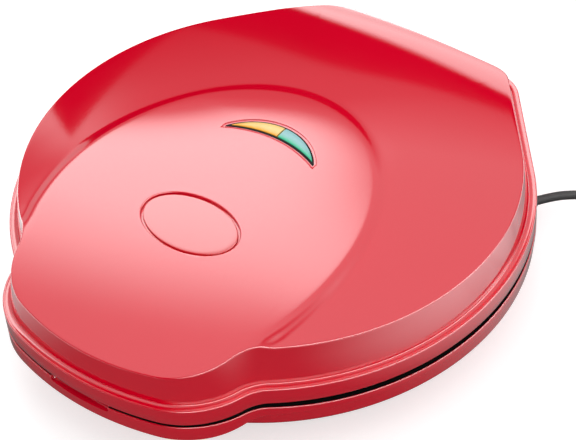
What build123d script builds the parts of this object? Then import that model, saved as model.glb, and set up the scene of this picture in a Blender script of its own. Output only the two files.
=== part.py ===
from build123d import *
import math
import os

os.makedirs("parts", exist_ok=True)

# Electric pizza maker, closed, in millimetres. The floor is z = 0, the front lobe points to -Y and the
# hinge is at +Y. Plan shapes are drawn about the centre of the round plates and moved by plate_y at the
# end, so that the origin is the bottom centre of the housing.

# Plan of the housing
body_radius = 172.0
least_corner_radius = 1.0
lobe_overhang = 23.0
rear_overhang = 10.0
lobe_front_radius = 203.0
lobe_corner_radius = 57.5
lobe_corner_x = 39.3
lobe_blend_radius = 28.0
block_half_width = 88.0
block_corner_radius = 29.0

# Heights above the floor
foot_height = 5.0
parting_z = 46.0
parting_half_gap = 1.2
lip_height = 7.8
bowl_wall_height = 8.6
bowl_wall_inset = 0.8
bowl_bottom_inset = 25.6
skirt_height = 11.8
skirt_chamfer = 1.4
ledge_inset = 5.6
cove_height = 2.4
lid_wall_inset = 7.8
lid_wall_draft = 1.15
lid_wall_draft_height = 22.0

# Wall thicknesses and clearances
shell_wall = 2.5
slide_gap = 0.3
seat_gap = 0.1

# Overshoot of a cutting body past what it cuts, and overlap of two bodies that are joined
over = 5.0
bite = 0.5

# Sampling of the crown's two surfaces
surface_rows = 25
surface_margin = 12.0
surface_tolerance = 0.02
ring_start_angle = -44.0
ring_end_angle = 224.0
ring_steps = 61
ring_spans = 7
ring_inner_margin = 9.0
ring_outer_margin = 45.0

# Crown of the lid: the raised tongue inside an elliptical crease, and the ring around it
crown_height = 53.6
crown_cut_depth = 33.6
crown_y = 15.0
front_fall = 0.00057
rear_fall = 0.00168
side_fall = 0.0006
side_fall_start_y = -110.0
side_fall_full_y = 15.0
ring_side_width = 67.5
ring_rear_width = 112.0
crease_half_length = 135.0
crease_step = 1.7
rim_inset = 9.0
rim_height = 36.4
rim_tilt = 0.02
ring_least_width = 14.0
tongue_front_y = -131.0
strip_length = 40.0
strip_front_height = 36.6
strip_rear_height = 27.4

# Indicator window and badge
window_half_length = 37.0
window_outer_rise = 20.7
window_inner_rise = 8.6
window_tip_cut = 1.6
window_recess_width = 2.2
window_recess_depth = 0.5
bezel_wall = 1.1
bezel_drop = 0.1
bezel_depth = 5.0
lens_back_drop = 1.5
lens_split = 0.8
lens_proud = 0.3
badge_y = -79.3
badge_half_length = 36.0
badge_half_width = 22.3
badge_groove = 1.5
badge_recess = 1.8
badge_plate_drop = 0.5
badge_back_rim = 2.0

# Plates
plate_margin = 8.5
plate_gap = 0.3
plate_thickness = 3.0
pan_depth = 9.0
pan_slope = 4.0
pan_rim_width = 13.5
pan_outer_wall = 3.0
plate_boss_radius = 3.6
plate_boss_inset = 5.0
plate_screw_angles = (0, 90, 180, 270)

# Inner frames
frame_plate = 2.4
frame_opening_gap = 0.5
boss_top_gap = 0.2
screw_tip_gap = 0.2
frame_wall = 2.4
shoulder_height = 3.0
shoulder_width = 9.3
frame_boss_radius = 4.5
base_screw_inset = 16.0
base_screw_angles = (30, 150, 210, 330)
base_post_radius = 6.0
base_post_drop = 15.0
base_screw_web = 8.0
base_screw_grip = 6.0

# Heating elements
element_inset = 46.0
element_tube_radius = 3.3
element_gap_angle = 50.0
element_bend_radius = 12.0
element_bend_turn = 75.0
element_leg = 14.0
clamp_gap = 0.5
clamp_width = 8.0
clamp_span = 24.0
clamp_metal = 1.2
clamp_angles = (30, 150, 270)
reflector_margin = 13.0
reflector_metal = 0.8
reflector_lip = 4.0
reflector_depth = 25.0
standoff_radius = 3.5
standoff_offset = 15.0
standoff_angles = (0, 120, 240)
standoff_bore_floor = 1.0
reflector_screw_grip = 3.0
thermostat_radius = 8.0
thermostat_height = 9.0
thermostat_place = (0.0, 32.0)
thermostat_ear = 14.0
thermostat_ear_width = 8.0
thermostat_metal = 1.2
blade_x = 6.0
blade_width = 6.0
blade_reach = 7.0
blade_metal = 0.8
blade_rise = 2.0
fuse_radius = 2.2
fuse_length = 24.0
fuse_place = (34.0, -20.0)
fuse_clip_length = 10.0
fuse_clip_width = 12.0
fuse_clip_metal = 1.0
fuse_sink = 0.2

# Screws
screw_radius = 1.6
screw_head_radius = 3.9
screw_head_height = 2.4
washer_head_radius = 6.0
small_screw_radius = 1.12
small_head_radius = 2.6
small_head_height = 1.6
small_screw_reach = 7.0
thread_gap = 0.05
hole_gap = 0.3

# Hinge
hinge_inset = 9.0
hinge_rise = 9.0
ear_inset = 30.0
ear_width = 14.0
ear_radius = 7.0
ear_drop = 12.0
ear_gap = 0.6
cheek_width = 7.0
cheek_length = 20.0
cheek_back_gap = 1.0
cheek_height = 20.0
pin_radius = 2.5
pin_press_gap = 0.03
pin_turn_gap = 0.15
pin_end_gap = 1.0
sweep_gap = 0.7
shelf_reach = 4.6
shelf_drop = 6.5
slot_height = 19.4

# Finger recess in the front lip of the base
finger_half_width = 23.0
finger_depth = 12.0
finger_height = 5.4
finger_corner_radius = 3.0

# Lid screws through the frame, in the lobe and in the rear block
lobe_screw_x = 50.0
lobe_screw_inset = 28.5
rear_screw_x = 27.0
rear_screw_inset = 12.2
lid_post_radius = 4.5
lid_screw_length = 14.0
screw_bore_spare = 2.0

# Lamps behind the window
lamp_holder_end = 4.0
lamp_holder_front = 4.0
lamp_holder_length = 26.0
lamp_holder_thickness = 2.0
lamp_radius = 3.0
lamp_height = 6.5
lamp_x = 12.0
lamp_post_radius = 2.6
lamp_bore_depth = 6.0
lamp_post_x = 26.0
lamp_post_y = -4.0
lamp_drop = 11.0

# Feet
foot_radius = 11.0
foot_circle_inset = 54.0
foot_angles = (30, 150, 210, 330)
foot_spigot_radius = 3.5
foot_flare = 1.0
foot_spigot_proud = 1.0
foot_seat_gap = 0.02

# Mains cord
cord_diameter = 6.2
cord_exit_angle = 55.0
cord_exit_height = 15.0
first_run = 12.6
cord_place_angle = 45.663
relief_reach = 5.14
relief_tail = 22.0
relief_body_radius = 5.0
relief_tip_radius = 4.0
relief_flange_radius = 6.5
relief_flange = 2.0
relief_inside = 12.0
tie_thickness = 0.8
tie_room = 0.45
coil_turn_pitch = 6.3
coil_side_gap = 9.25
coil_centre_y = 133.9
coil_mean_radius = 33.95
coil_section = 12.6
coil_lift = 0.9
tie_width = 8.0
terminal_length = 20.0
terminal_width = 28.0
terminal_height = 11.5
terminal_back = 52.0
terminal_screw_pitch = 8.5
terminal_screw_radius = 2.0
terminal_screw_depth = 2.5

# Plug
plug_width = 50.0
plug_length = 48.0
plug_thickness = 22.0
plug_neck_length = 14.0
plug_neck_radius = 5.0
plug_corner_radius = 9.0
plug_stub = 26.0
plug_chamfer = 2.0
coil_edge_share = 0.9
corner_share = 0.45
coil_entry_stub = 22.5
pin_length = 18.0
pin_blade_wide = 6.4
pin_blade_thick = 4.0
earth_blade_wide = 8.0
earth_pin_offset = 11.0
live_pin_offset = 11.0
live_pin_x = 11.1

# Places worked out from the sizes above
front_reach = body_radius + lobe_overhang
rear_reach = body_radius + rear_overhang
plate_y = (front_reach - rear_reach) / 2
crease_half_width = body_radius - ring_side_width
crease_y = body_radius - ring_rear_width - crease_half_length
wall_top = parting_z + crown_height + 16.4
far = 400.0
rim_radius = body_radius - rim_inset
strip_front_y = rear_reach - strip_length
plate_rim_radius = body_radius - plate_margin
pan_top_radius = plate_rim_radius - pan_rim_width
pan_floor_radius = pan_top_radius - pan_slope
plate_boss_circle = plate_rim_radius - plate_boss_inset
element_radius = pan_floor_radius - element_inset
standoff_circle = element_radius + standoff_offset
reflector_radius = standoff_circle + reflector_margin
shoulder_inner_radius = plate_rim_radius - shoulder_width
base_screw_circle = body_radius - base_screw_inset
foot_circle = body_radius - foot_circle_inset
ear_x = block_half_width - ear_inset
cheek_front_y = rear_reach - cheek_length
lobe_screw_y = lobe_screw_inset - front_reach
rear_screw_y = rear_reach - rear_screw_inset
lid_screw_places = ((-lobe_screw_x, lobe_screw_y), (lobe_screw_x, lobe_screw_y),
                    (-rear_screw_x, rear_screw_y), (rear_screw_x, rear_screw_y))


def save(name, solid):
    moved = Pos(0, plate_y, 0) * solid
    moved.label = name
    export_step(moved, f"parts/{name}.step")


def ring_of(radius, angles):
    """Points on a circle about the plate centre."""
    return [(radius * math.cos(math.radians(a)), radius * math.sin(math.radians(a))) for a in angles]


def cylinder(x, y, low, high, radius):
    return Pos(x, y, (low + high) / 2) * Cylinder(radius, high - low)


def block(x0, x1, y0, y1, z0, z1):
    return Pos((x0 + x1) / 2, (y0 + y1) / 2, (z0 + z1) / 2) * Box(x1 - x0, y1 - y0, z1 - z0)


def joined(shapes):
    total = shapes[0]
    for shape in shapes[1:]:
        total = total + shape
    return total


# Plan outlines, each drawn at an inset from the housing's outermost edge

def unit(dx, dy):
    length = math.hypot(dx, dy)
    return dx / length, dy / length


def arc_edge(centre, start, end):
    """Arc under half a turn about a centre, on the side of the chord away from it."""
    radius = math.hypot(start[0] - centre[0], start[1] - centre[1])
    ux, uy = unit(start[0] + end[0] - 2 * centre[0], start[1] + end[1] - 2 * centre[1])
    middle = (centre[0] + radius * ux, centre[1] + radius * uy)
    return Edge.make_three_point_arc(Vector(*start), Vector(*middle), Vector(*end))


def lobe_points(inset):
    """Tangent points of the lobe: front arc to corner, corner to blend and blend to body circle."""
    front_centre = (0.0, lobe_front_radius - front_reach)
    reach = lobe_front_radius - lobe_corner_radius
    corner = (lobe_corner_x, front_centre[1] - math.sqrt(reach ** 2 - lobe_corner_x ** 2))
    to_blend = lobe_corner_radius + lobe_blend_radius
    from_body = body_radius + lobe_blend_radius
    span = math.hypot(*corner)
    along = (from_body ** 2 - to_blend ** 2 + span ** 2) / (2 * span)
    aside = math.sqrt(from_body ** 2 - along ** 2)
    ux, uy = unit(*corner)
    blend = (ux * along - uy * aside, uy * along + ux * aside)
    fx, fy = unit(corner[0] - front_centre[0], corner[1] - front_centre[1])
    front_end = (front_centre[0] + fx * (lobe_front_radius - inset),
                 front_centre[1] + fy * (lobe_front_radius - inset))
    bx, by = unit(blend[0] - corner[0], blend[1] - corner[1])
    corner_end = (corner[0] + bx * (lobe_corner_radius - inset),
                  corner[1] + by * (lobe_corner_radius - inset))
    vx, vy = unit(*blend)
    body_start = (vx * (body_radius - inset), vy * (body_radius - inset))
    return corner, blend, front_end, corner_end, body_start


def block_points(inset):
    """Tangent points of the rear block: body circle to side line, side line to corner, corner to back."""
    corner = max(block_corner_radius - inset, least_corner_radius)
    centre = (block_half_width - inset - corner, rear_reach - inset - corner)
    turn = math.acos((body_radius - inset - corner) / math.hypot(*centre))
    angle = math.atan2(centre[1], centre[0]) - turn
    nx, ny = math.cos(angle), math.sin(angle)
    body_end = (nx * (body_radius - inset), ny * (body_radius - inset))
    side_end = (centre[0] + nx * corner, centre[1] + ny * corner)
    back_start = (centre[0], rear_reach - inset)
    return centre, body_end, side_end, back_start


def mirrored(point):
    return -point[0], point[1]


def plan(inset, z=0.0, lobe=True):
    """Face of the housing's plan at an inset; without the lobe it is the bowl's plan."""
    centre, body_end, side_end, back_start = block_points(inset)
    half = [Edge.make_line(Vector(*body_end), Vector(*side_end)),
            arc_edge(centre, side_end, back_start)]
    if lobe:
        corner, blend, front_end, corner_end, body_start = lobe_points(inset)
        half = [arc_edge(corner, front_end, corner_end),
                arc_edge(blend, corner_end, body_start),
                arc_edge((0.0, 0.0), body_start, body_end)] + half
        front = Edge.make_three_point_arc(Vector(*mirrored(front_end)), Vector(0, inset - front_reach),
                                          Vector(*front_end))
    else:
        front = Edge.make_three_point_arc(Vector(*mirrored(body_end)), Vector(0, inset - body_radius),
                                          Vector(*body_end))
    back = Edge.make_line(Vector(*back_start), Vector(*mirrored(back_start)))
    other = [edge.mirror(Plane.YZ) for edge in half]
    return Pos(0, 0, z) * Face(Wire([front, back] + half + other))


def prism(inset, low, high, lobe=True):
    return extrude(plan(inset, low, lobe), high - low, dir=(0, 0, 1))


def taper(inset_low, low, inset_high, high, lobe=True):
    return loft([plan(inset_low, low, lobe), plan(inset_high, high, lobe)], ruled=True)


# Heights of the lid's crown above the parting plane

def tongue_height(x, y):
    fall = front_fall if y < crown_y else rear_fall
    share = max(0.0, (y - side_fall_start_y) / (side_fall_full_y - side_fall_start_y))
    return crown_height - fall * (y - crown_y) ** 2 - side_fall * share ** 2 * x ** 2


def crease_reach(angle):
    """Distance from the ellipse's centre to the crease."""
    across = crease_half_length * math.cos(angle)
    along = crease_half_width * math.sin(angle)
    return crease_half_width * crease_half_length / math.hypot(across, along)


def rim_reach(angle):
    """Distance from the ellipse's centre to the rim circle."""
    shift = crease_y * math.sin(angle)
    return -shift + math.sqrt(shift ** 2 + rim_radius ** 2 - crease_y ** 2)


def ring_height(angle, reach):
    crease = crease_reach(angle)
    rim = rim_reach(angle)
    crease_top = tongue_height(crease * math.cos(angle), crease_y + crease * math.sin(angle)) - crease_step
    rim_top = rim_height - rim_tilt * (crease_y + rim * math.sin(angle))
    slope = (crease_top - rim_top) / max(rim - crease, ring_least_width)
    return rim_top + slope * (rim - reach)


def above_tongue():
    """Solid space above the tongue's surface."""
    reach = body_radius + surface_margin
    front = -front_reach - surface_margin
    rear = crease_y + crease_half_length + surface_margin
    grid = []
    for i in range(surface_rows):
        y = front + (rear - front) * i / (surface_rows - 1)
        row = []
        for j in range(surface_rows):
            x = reach * (2 * j / (surface_rows - 1) - 1)
            row.append(Vector(x, y, parting_z + tongue_height(x, y)))
        grid.append(row)
    face = Face.make_surface_from_array_of_points(grid, tol=surface_tolerance)
    return extrude(face, wall_top, dir=(0, 0, 1))


def above_ring():
    """Solid space above the ring's surface, from inside the crease to outside the rim."""
    start = math.radians(ring_start_angle)
    end = math.radians(ring_end_angle)
    grid = []
    for i in range(ring_steps):
        angle = start + (end - start) * i / (ring_steps - 1)
        near = crease_reach(angle) - ring_inner_margin
        width = rim_reach(angle) + ring_outer_margin - near
        row = []
        for j in range(ring_spans):
            reach = near + width * j / (ring_spans - 1)
            row.append(Vector(reach * math.cos(angle), crease_y + reach * math.sin(angle),
                              parting_z + ring_height(angle, reach)))
        grid.append(row)
    face = Face.make_surface_from_array_of_points(grid, tol=surface_tolerance)
    return extrude(face, wall_top, dir=(0, 0, 1))


def tongue_region(inset=0.0):
    """Prism over the tongue: the crease's ellipse with the whole lobe in front of it."""
    oval = Ellipse(crease_half_width - inset, crease_half_length - inset)
    rear = extrude(Pos(0, crease_y, 0) * oval, wall_top)
    half = crease_half_width * math.sqrt(1 - ((tongue_front_y - crease_y) / crease_half_length) ** 2)
    front = block(-half - surface_margin, half + surface_margin, -far, tongue_front_y, 0, wall_top)
    return rear - block(-far, far, -far, tongue_front_y, -over, wall_top + over) + front


def strip_wedge(drop):
    """Space above the sloping strip behind the rear crest."""
    slope = (strip_front_height - strip_rear_height) / (rear_reach - lid_wall_inset - strip_front_y)
    front = strip_front_y - strip_length
    rear = rear_reach + over
    z_front = parting_z + strip_front_height + slope * (strip_front_y - front) - drop
    z_rear = parting_z + strip_front_height - slope * (rear - strip_front_y) - drop
    top = wall_top + over
    profile = Polyline((front, z_front), (rear, z_rear), (rear, top), (front, top), (front, z_front))
    face = make_face(Plane.YZ * profile)
    return extrude(Pos(-far, 0, 0) * face, 2 * far, dir=(1, 0, 0))


def under_crown(walls, ring_space, tongue_space, drop, inset):
    """Cut a walled prism down to the crown's surface, lowered by drop."""
    region = tongue_region(inset)
    ring_part = walls - region - Pos(0, 0, -drop) * ring_space - strip_wedge(drop)
    tongue_part = (walls & region) - Pos(0, 0, -drop) * tongue_space
    return ring_part + tongue_part


def arc_radius(half_chord, rise):
    return (half_chord ** 2 + rise ** 2) / (2 * rise)


def crescent(grow, low, high):
    """Prism of the window's crescent, grown outwards."""
    outer = arc_radius(window_half_length, window_outer_rise)
    inner = arc_radius(window_half_length, window_inner_rise)
    disc = Pos(0, window_outer_rise - outer) * Circle(outer + grow)
    hollow = Pos(0, window_inner_rise - inner) * Circle(inner - grow)
    trim = Rectangle(2 * (window_half_length - window_tip_cut + grow), 4 * window_outer_rise)
    return extrude(Pos(0, 0, low) * ((disc - hollow) & trim), high - low, dir=(0, 0, 1))


def oval(grow, low, high):
    face = Ellipse(badge_half_length + grow, badge_half_width + grow)
    return extrude(Pos(0, badge_y, low) * face, high - low, dir=(0, 0, 1))


# Hinge line
hinge_y = rear_reach - hinge_inset
hinge_z = parting_z + hinge_rise


def along_x(x0, x1, y, z, radius):
    return Pos((x0 + x1) / 2, y, z) * Rot(0, 90, 0) * Cylinder(radius, x1 - x0)


# Lid

def lid_outer_walls():
    bottom = parting_z + parting_half_gap
    edge = bottom + skirt_height - skirt_chamfer
    ledge = bottom + skirt_height
    foot = ledge + cove_height
    draft = lid_wall_draft / lid_wall_draft_height * (wall_top - foot)
    return (prism(0, bottom, edge)
            + taper(0, edge, skirt_chamfer, ledge)
            + taper(ledge_inset, ledge - bite, lid_wall_inset, foot)
            + taper(lid_wall_inset, foot - bite, lid_wall_inset + draft, wall_top))


def lid_inner_walls():
    bottom = parting_z + parting_half_gap
    ledge = bottom + skirt_height - shell_wall
    draft = lid_wall_draft / lid_wall_draft_height * (wall_top - ledge)
    inset = lid_wall_inset + shell_wall
    return (prism(shell_wall, bottom - over, ledge)
            + taper(inset, ledge - bite, inset + draft, wall_top))


def hinge_slots():
    """Room in the lid for the base's ears over the whole travel."""
    half = ear_width / 2 + ear_gap
    front = hinge_y - ear_radius - ear_gap
    return [block(s * ear_x - half, s * ear_x + half, front, rear_reach + over,
                  parting_z - over, parting_z + slot_height) for s in (-1, 1)]


def cheeks():
    """Blocks beside each slot that hold the pin's ends."""
    shapes = []
    inner = ear_width / 2 + ear_gap
    for s in (-1, 1):
        for side in (-1, 1):
            x0 = s * ear_x + side * inner
            x1 = s * ear_x + side * (inner + cheek_width)
            shapes.append(block(min(x0, x1), max(x0, x1), cheek_front_y, rear_reach - cheek_back_gap,
                                parting_z + parting_half_gap, parting_z + cheek_height))
    return shapes


def hinge_sweep(radius, half_length):
    return along_x(-half_length, half_length, hinge_y, hinge_z, radius)


lid_corner_reach = math.hypot(hinge_inset, hinge_rise - parting_half_gap)
window_low = parting_z + crown_height - crown_cut_depth
tongue_space = above_tongue()
ring_space = above_ring()
lid_solid = under_crown(lid_outer_walls(), ring_space, tongue_space, 0.0, 0.0)
lid_space = under_crown(lid_inner_walls(), ring_space, tongue_space, shell_wall, shell_wall)


def tongue_slab(shape, top_drop, low_drop):
    """The part of a prism between two depths under the tongue's surface."""
    return (shape - Pos(0, 0, -top_drop) * tongue_space) & (Pos(0, 0, -low_drop) * tongue_space)


def lid_posts():
    return [cylinder(x, y, parting_z + parting_half_gap + frame_plate + seat_gap, wall_top,
                     lid_post_radius) for x, y in lid_screw_places]


def lamp_posts():
    top = parting_z + crown_height
    return [cylinder(s * lamp_post_x, lamp_post_y, top - lamp_drop, top, lamp_post_radius)
            for s in (-1, 1)]


def make_lid_shell():
    shell = lid_solid - lid_space
    inside = joined(cheeks() + lid_posts() + lamp_posts()) & lid_solid
    back = tongue_slab(oval(badge_back_rim, window_low, wall_top), badge_recess,
                       badge_recess + shell_wall)
    shell = shell + inside + back
    shell = shell - joined(hinge_slots())
    for s in (-1, 1):
        reach = ear_width / 2 + ear_gap + cheek_width
        inner = s * ear_x - reach + pin_end_gap
        outer = s * ear_x + reach - pin_end_gap
        shell = shell - along_x(inner, outer, hinge_y, hinge_z, pin_radius + pin_turn_gap)
    for x, y in lid_screw_places:
        start = parting_z + parting_half_gap
        shell = shell - cylinder(x, y, start, start + lid_screw_length + screw_bore_spare,
                                 screw_radius + thread_gap)
    shell = shell - crescent(0, window_low, wall_top)
    recess = crescent(window_recess_width, window_low, wall_top)
    shell = shell - (recess & Pos(0, 0, -window_recess_depth) * tongue_space)
    shell = shell - (oval(0, window_low, wall_top) & Pos(0, 0, -badge_recess) * tongue_space)
    post_end = parting_z + crown_height - lamp_drop
    for s in (-1, 1):
        shell = shell - cylinder(s * lamp_post_x, lamp_post_y, post_end - over,
                                 post_end + lamp_bore_depth, small_screw_radius + thread_gap)
    return shell


# Frames: side is 1 for the lid, where depth grows upwards, and -1 for the base

def level(side, depth):
    return parting_z + side * depth


def span(side, near, far):
    """Low and high z of a slice between two depths from the parting plane."""
    a = level(side, near)
    b = level(side, far)
    return min(a, b), max(a, b)


def frame_blank(side):
    opening = plate_rim_radius + frame_opening_gap
    seat = plate_gap + plate_thickness + seat_gap
    plate_low, plate_high = span(side, parting_half_gap, parting_half_gap + frame_plate)
    ring_low, ring_high = span(side, parting_half_gap, seat + shoulder_height)
    seat_low, seat_high = span(side, seat, seat + shoulder_height)
    frame = prism(shell_wall + slide_gap, plate_low, plate_high)
    frame = frame + cylinder(0, 0, ring_low, ring_high, opening + frame_wall)
    frame = frame - cylinder(0, 0, ring_low - over, ring_high + over, opening)
    seat_ring = cylinder(0, 0, seat_low, seat_high, opening + frame_wall / 2)
    seat_hole = cylinder(0, 0, seat_low - over, seat_high + over, shoulder_inner_radius)
    frame = frame + (seat_ring - seat_hole)
    for x, y in ring_of(plate_boss_circle, plate_screw_angles):
        frame = frame - cylinder(x, y, seat_low - over, seat_high + over, plate_boss_radius + hole_gap)
    return frame


def make_lid_frame():
    frame = frame_blank(1)
    room = [block(c.bounding_box().min.X - slide_gap, c.bounding_box().max.X + slide_gap,
                  cheek_front_y - slide_gap, rear_reach + over, parting_z - over,
                  parting_z + cheek_height) for c in cheeks()]
    frame = frame - joined(room + hinge_slots())
    top = parting_z + parting_half_gap + frame_plate
    for x, y in lid_screw_places:
        frame = frame - cylinder(x, y, parting_z, top + over, screw_radius + hole_gap)
        low = parting_z + parting_half_gap
        cone = Cone(screw_head_radius + hole_gap, screw_radius + hole_gap, screw_head_height)
        frame = frame - Pos(x, y, low + screw_head_height / 2) * cone
    return frame


def make_base_frame():
    frame = frame_blank(-1)
    seat_low, seat_high = span(-1, 0, plate_gap + plate_thickness + seat_gap + shoulder_height)
    boss_low = parting_z - base_post_drop + seat_gap
    for x, y in ring_of(base_screw_circle, base_screw_angles):
        frame = frame + cylinder(x, y, boss_low, seat_low + bite, frame_boss_radius)
        frame = frame - cylinder(x, y, boss_low - over, seat_low - bite, screw_radius + thread_gap)
    half = ear_width / 2 + ear_gap
    for s in (-1, 1):
        frame = frame - block(s * ear_x - half, s * ear_x + half, hinge_y - ear_radius - ear_gap,
                              rear_reach + over, foot_height, parting_z + over)
    frame = frame - hinge_sweep(lid_corner_reach + sweep_gap, block_half_width + over)
    frame = frame - block(-block_half_width, block_half_width, hinge_y - shelf_reach - slide_gap,
                          rear_reach + over, foot_height, parting_z + over)
    pocket = finger_half_width + shell_wall + slide_gap
    return frame - block(-pocket, pocket, -front_reach - over,
                         -front_reach + finger_depth + shell_wall + slide_gap,
                         foot_height, parting_z + over)


# Cooking plates

def make_plate(side):
    """Round pan with a flat rim; the pan is dished away from the parting plane."""
    rim_low, rim_high = span(side, plate_gap, plate_gap + plate_thickness)
    floor_depth = plate_gap + pan_depth
    rim = cylinder(0, 0, rim_low, rim_high, plate_rim_radius)
    outer_top = pan_top_radius + pan_outer_wall
    outer_floor = pan_floor_radius + pan_outer_wall
    z0 = level(side, plate_gap + plate_thickness / 2)
    z1 = level(side, floor_depth + plate_thickness)
    outer = loft([Pos(0, 0, z0) * Circle(outer_top), Pos(0, 0, z1) * Circle(outer_floor)])
    inner = loft([Pos(0, 0, level(side, plate_gap)) * Circle(pan_top_radius),
                  Pos(0, 0, level(side, floor_depth)) * Circle(pan_floor_radius)])
    plate = rim + outer - inner
    boss_low, boss_high = span(side, plate_gap + plate_thickness - bite,
                               plate_gap + plate_thickness + seat_gap + shoulder_height - boss_top_gap)
    hole_low, hole_high = span(side, plate_gap + plate_thickness / 2,
                               plate_gap + plate_thickness + shoulder_height + over)
    for x, y in ring_of(plate_boss_circle, plate_screw_angles):
        plate = plate + cylinder(x, y, boss_low, boss_high, plate_boss_radius)
        plate = plate - cylinder(x, y, hole_low, hole_high, screw_radius + thread_gap)
    post_low, post_high = span(side, floor_depth + plate_thickness - bite, reflector_depth - seat_gap)
    bore_low, bore_high = span(side, floor_depth + plate_thickness + standoff_bore_floor,
                               reflector_depth + over)
    for x, y in ring_of(standoff_circle, standoff_angles):
        plate = plate + cylinder(x, y, post_low, post_high, standoff_radius)
        plate = plate - cylinder(x, y, bore_low, bore_high, screw_radius + thread_gap)
    return plate


def pan_head_screw(x, y, side, seat_depth, tip_depth, head_radius):
    """Screw whose head bears at seat_depth from behind and whose shank reaches back to tip_depth."""
    head_low, head_high = span(side, seat_depth, seat_depth + screw_head_height)
    shank_low, shank_high = span(side, tip_depth, seat_depth + screw_head_height / 2)
    return (cylinder(x, y, head_low, head_high, head_radius)
            + cylinder(x, y, shank_low, shank_high, screw_radius))


def make_plate_screws(side):
    seat = plate_gap + plate_thickness + seat_gap + shoulder_height + seat_gap
    tip = plate_gap + plate_thickness / 2 + screw_tip_gap
    return Compound([pan_head_screw(x, y, side, seat, tip, washer_head_radius)
                     for x, y in ring_of(plate_boss_circle, plate_screw_angles)])


pan_back_depth = plate_gap + pan_depth + plate_thickness
element_depth = pan_back_depth + seat_gap + element_tube_radius


def make_element(side):
    """Sheathed heating rod bent round under the pan, its two ends turned out to the rear."""
    half_gap = element_gap_angle / 2
    start_angle = 90 + half_gap
    main = CenterArc((0, 0), element_radius, start_angle, 360 - element_gap_angle)
    first = JernArc(main @ 0, -1 * (main % 0), element_bend_radius, element_bend_turn)
    last = JernArc(main @ 1, main % 1, element_bend_radius, -element_bend_turn)
    leg_a = Line(first @ 1, first @ 1 + (first % 1) * element_leg)
    leg_b = Line(last @ 1, last @ 1 + (last % 1) * element_leg)
    path = Wire([leg_a.edge(), first.edge(), main.edge(), last.edge(), leg_b.edge()])
    section = Plane(path @ 0, z_dir=path % 0) * Circle(element_tube_radius)
    rod = sweep(section, path)
    return Pos(0, 0, level(side, element_depth)) * rod


def make_clamps(side):
    """Bent straps that press the heating rod against the pan."""
    near = pan_back_depth + seat_gap
    crown = element_depth + element_tube_radius + seat_gap + clamp_metal
    low, high = span(side, near, crown)
    inner_low, inner_high = span(side, near - over, crown - clamp_metal)
    foot_low, foot_high = span(side, near, near + clamp_metal)
    channel = element_tube_radius + clamp_gap
    leg = channel + clamp_metal
    reach = clamp_span / 2
    half = clamp_width / 2
    strap = block(-leg, leg, -half, half, low, high)
    strap = strap - block(-channel, channel, -clamp_width, clamp_width, inner_low, inner_high)
    strap = strap + block(-reach, -channel, -half, half, foot_low, foot_high)
    strap = strap + block(channel, reach, -half, half, foot_low, foot_high)
    return Compound([Rot(0, 0, a) * Pos(element_radius, 0, 0) * strap for a in clamp_angles])


def make_reflector(side):
    """Thin dished shield between the heating rod and the housing."""
    low, high = span(side, reflector_depth, reflector_depth + reflector_metal)
    lip_low, lip_high = span(side, reflector_depth - reflector_lip, reflector_depth + reflector_metal)
    dish = cylinder(0, 0, low, high, reflector_radius)
    lip = cylinder(0, 0, lip_low, lip_high, reflector_radius)
    lip = lip - cylinder(0, 0, lip_low - over, lip_high + over, reflector_radius - reflector_metal)
    dish = dish + lip
    for x, y in ring_of(standoff_circle, standoff_angles):
        dish = dish - cylinder(x, y, low - over, high + over, screw_radius + hole_gap)
    return dish


def make_reflector_screws(side):
    seat = reflector_depth + reflector_metal + seat_gap
    tip = pan_back_depth + reflector_screw_grip
    return Compound([pan_head_screw(x, y, side, seat, tip, screw_head_radius)
                     for x, y in ring_of(standoff_circle, standoff_angles)])


def make_thermostat():
    """Disc thermostat on the lower pan with its two blade terminals."""
    x, y = thermostat_place
    near = pan_back_depth + seat_gap
    low, high = span(-1, near, near + thermostat_height)
    body = cylinder(x, y, low, high, thermostat_radius)
    ear_low, ear_high = span(-1, near, near + thermostat_metal)
    half = thermostat_ear_width / 2
    body = body + block(x - thermostat_ear, x + thermostat_ear, y - half, y + half, ear_low, ear_high)
    blade_low = low + blade_rise
    for s in (-1, 1):
        body = body + block(x + s * blade_x - blade_width / 2, x + s * blade_x + blade_width / 2, y,
                            y + thermostat_radius + blade_reach, blade_low, blade_low + blade_metal)
    return body


def make_fuse(side):
    """Thermal fuse in its clip on the back of the pan."""
    x, y = fuse_place
    near = pan_back_depth + seat_gap
    low, high = span(side, near, near + fuse_clip_metal)
    clip = block(x - fuse_clip_length / 2, x + fuse_clip_length / 2, y - fuse_clip_width / 2,
                 y + fuse_clip_width / 2, low, high)
    centre_z = level(side, near + fuse_clip_metal - fuse_sink + fuse_radius)
    return clip + along_x(x - fuse_length / 2, x + fuse_length / 2, y, centre_z, fuse_radius)


# Base

def bowl_outer():
    lip_low = parting_z - parting_half_gap - lip_height
    wall_low = lip_low - bowl_wall_height
    return (prism(0, lip_low, parting_z - parting_half_gap)
            + prism(bowl_wall_inset, wall_low, lip_low + bite, lobe=False)
            + taper(bowl_bottom_inset, foot_height, bowl_wall_inset, wall_low, lobe=False))


def bowl_inner():
    top = parting_z + over
    lip_low = parting_z - parting_half_gap - lip_height + shell_wall
    wall_low = lip_low - shell_wall / 2 - bowl_wall_height
    inset = bowl_wall_inset + shell_wall
    floor = foot_height + shell_wall
    return (prism(shell_wall, lip_low, top)
            + prism(inset, wall_low, top, lobe=False)
            + taper(bowl_bottom_inset + shell_wall, floor, inset, wall_low, lobe=False))


def base_ears():
    """Lugs that carry the hinge pins."""
    shapes = []
    low = parting_z - ear_drop
    for s in (-1, 1):
        x0 = s * ear_x - ear_width / 2
        shapes.append(block(x0, x0 + ear_width, hinge_y - ear_radius, hinge_y + ear_radius, low, hinge_z))
        shapes.append(along_x(x0, x0 + ear_width, hinge_y, hinge_z, ear_radius))
    return shapes


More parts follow.
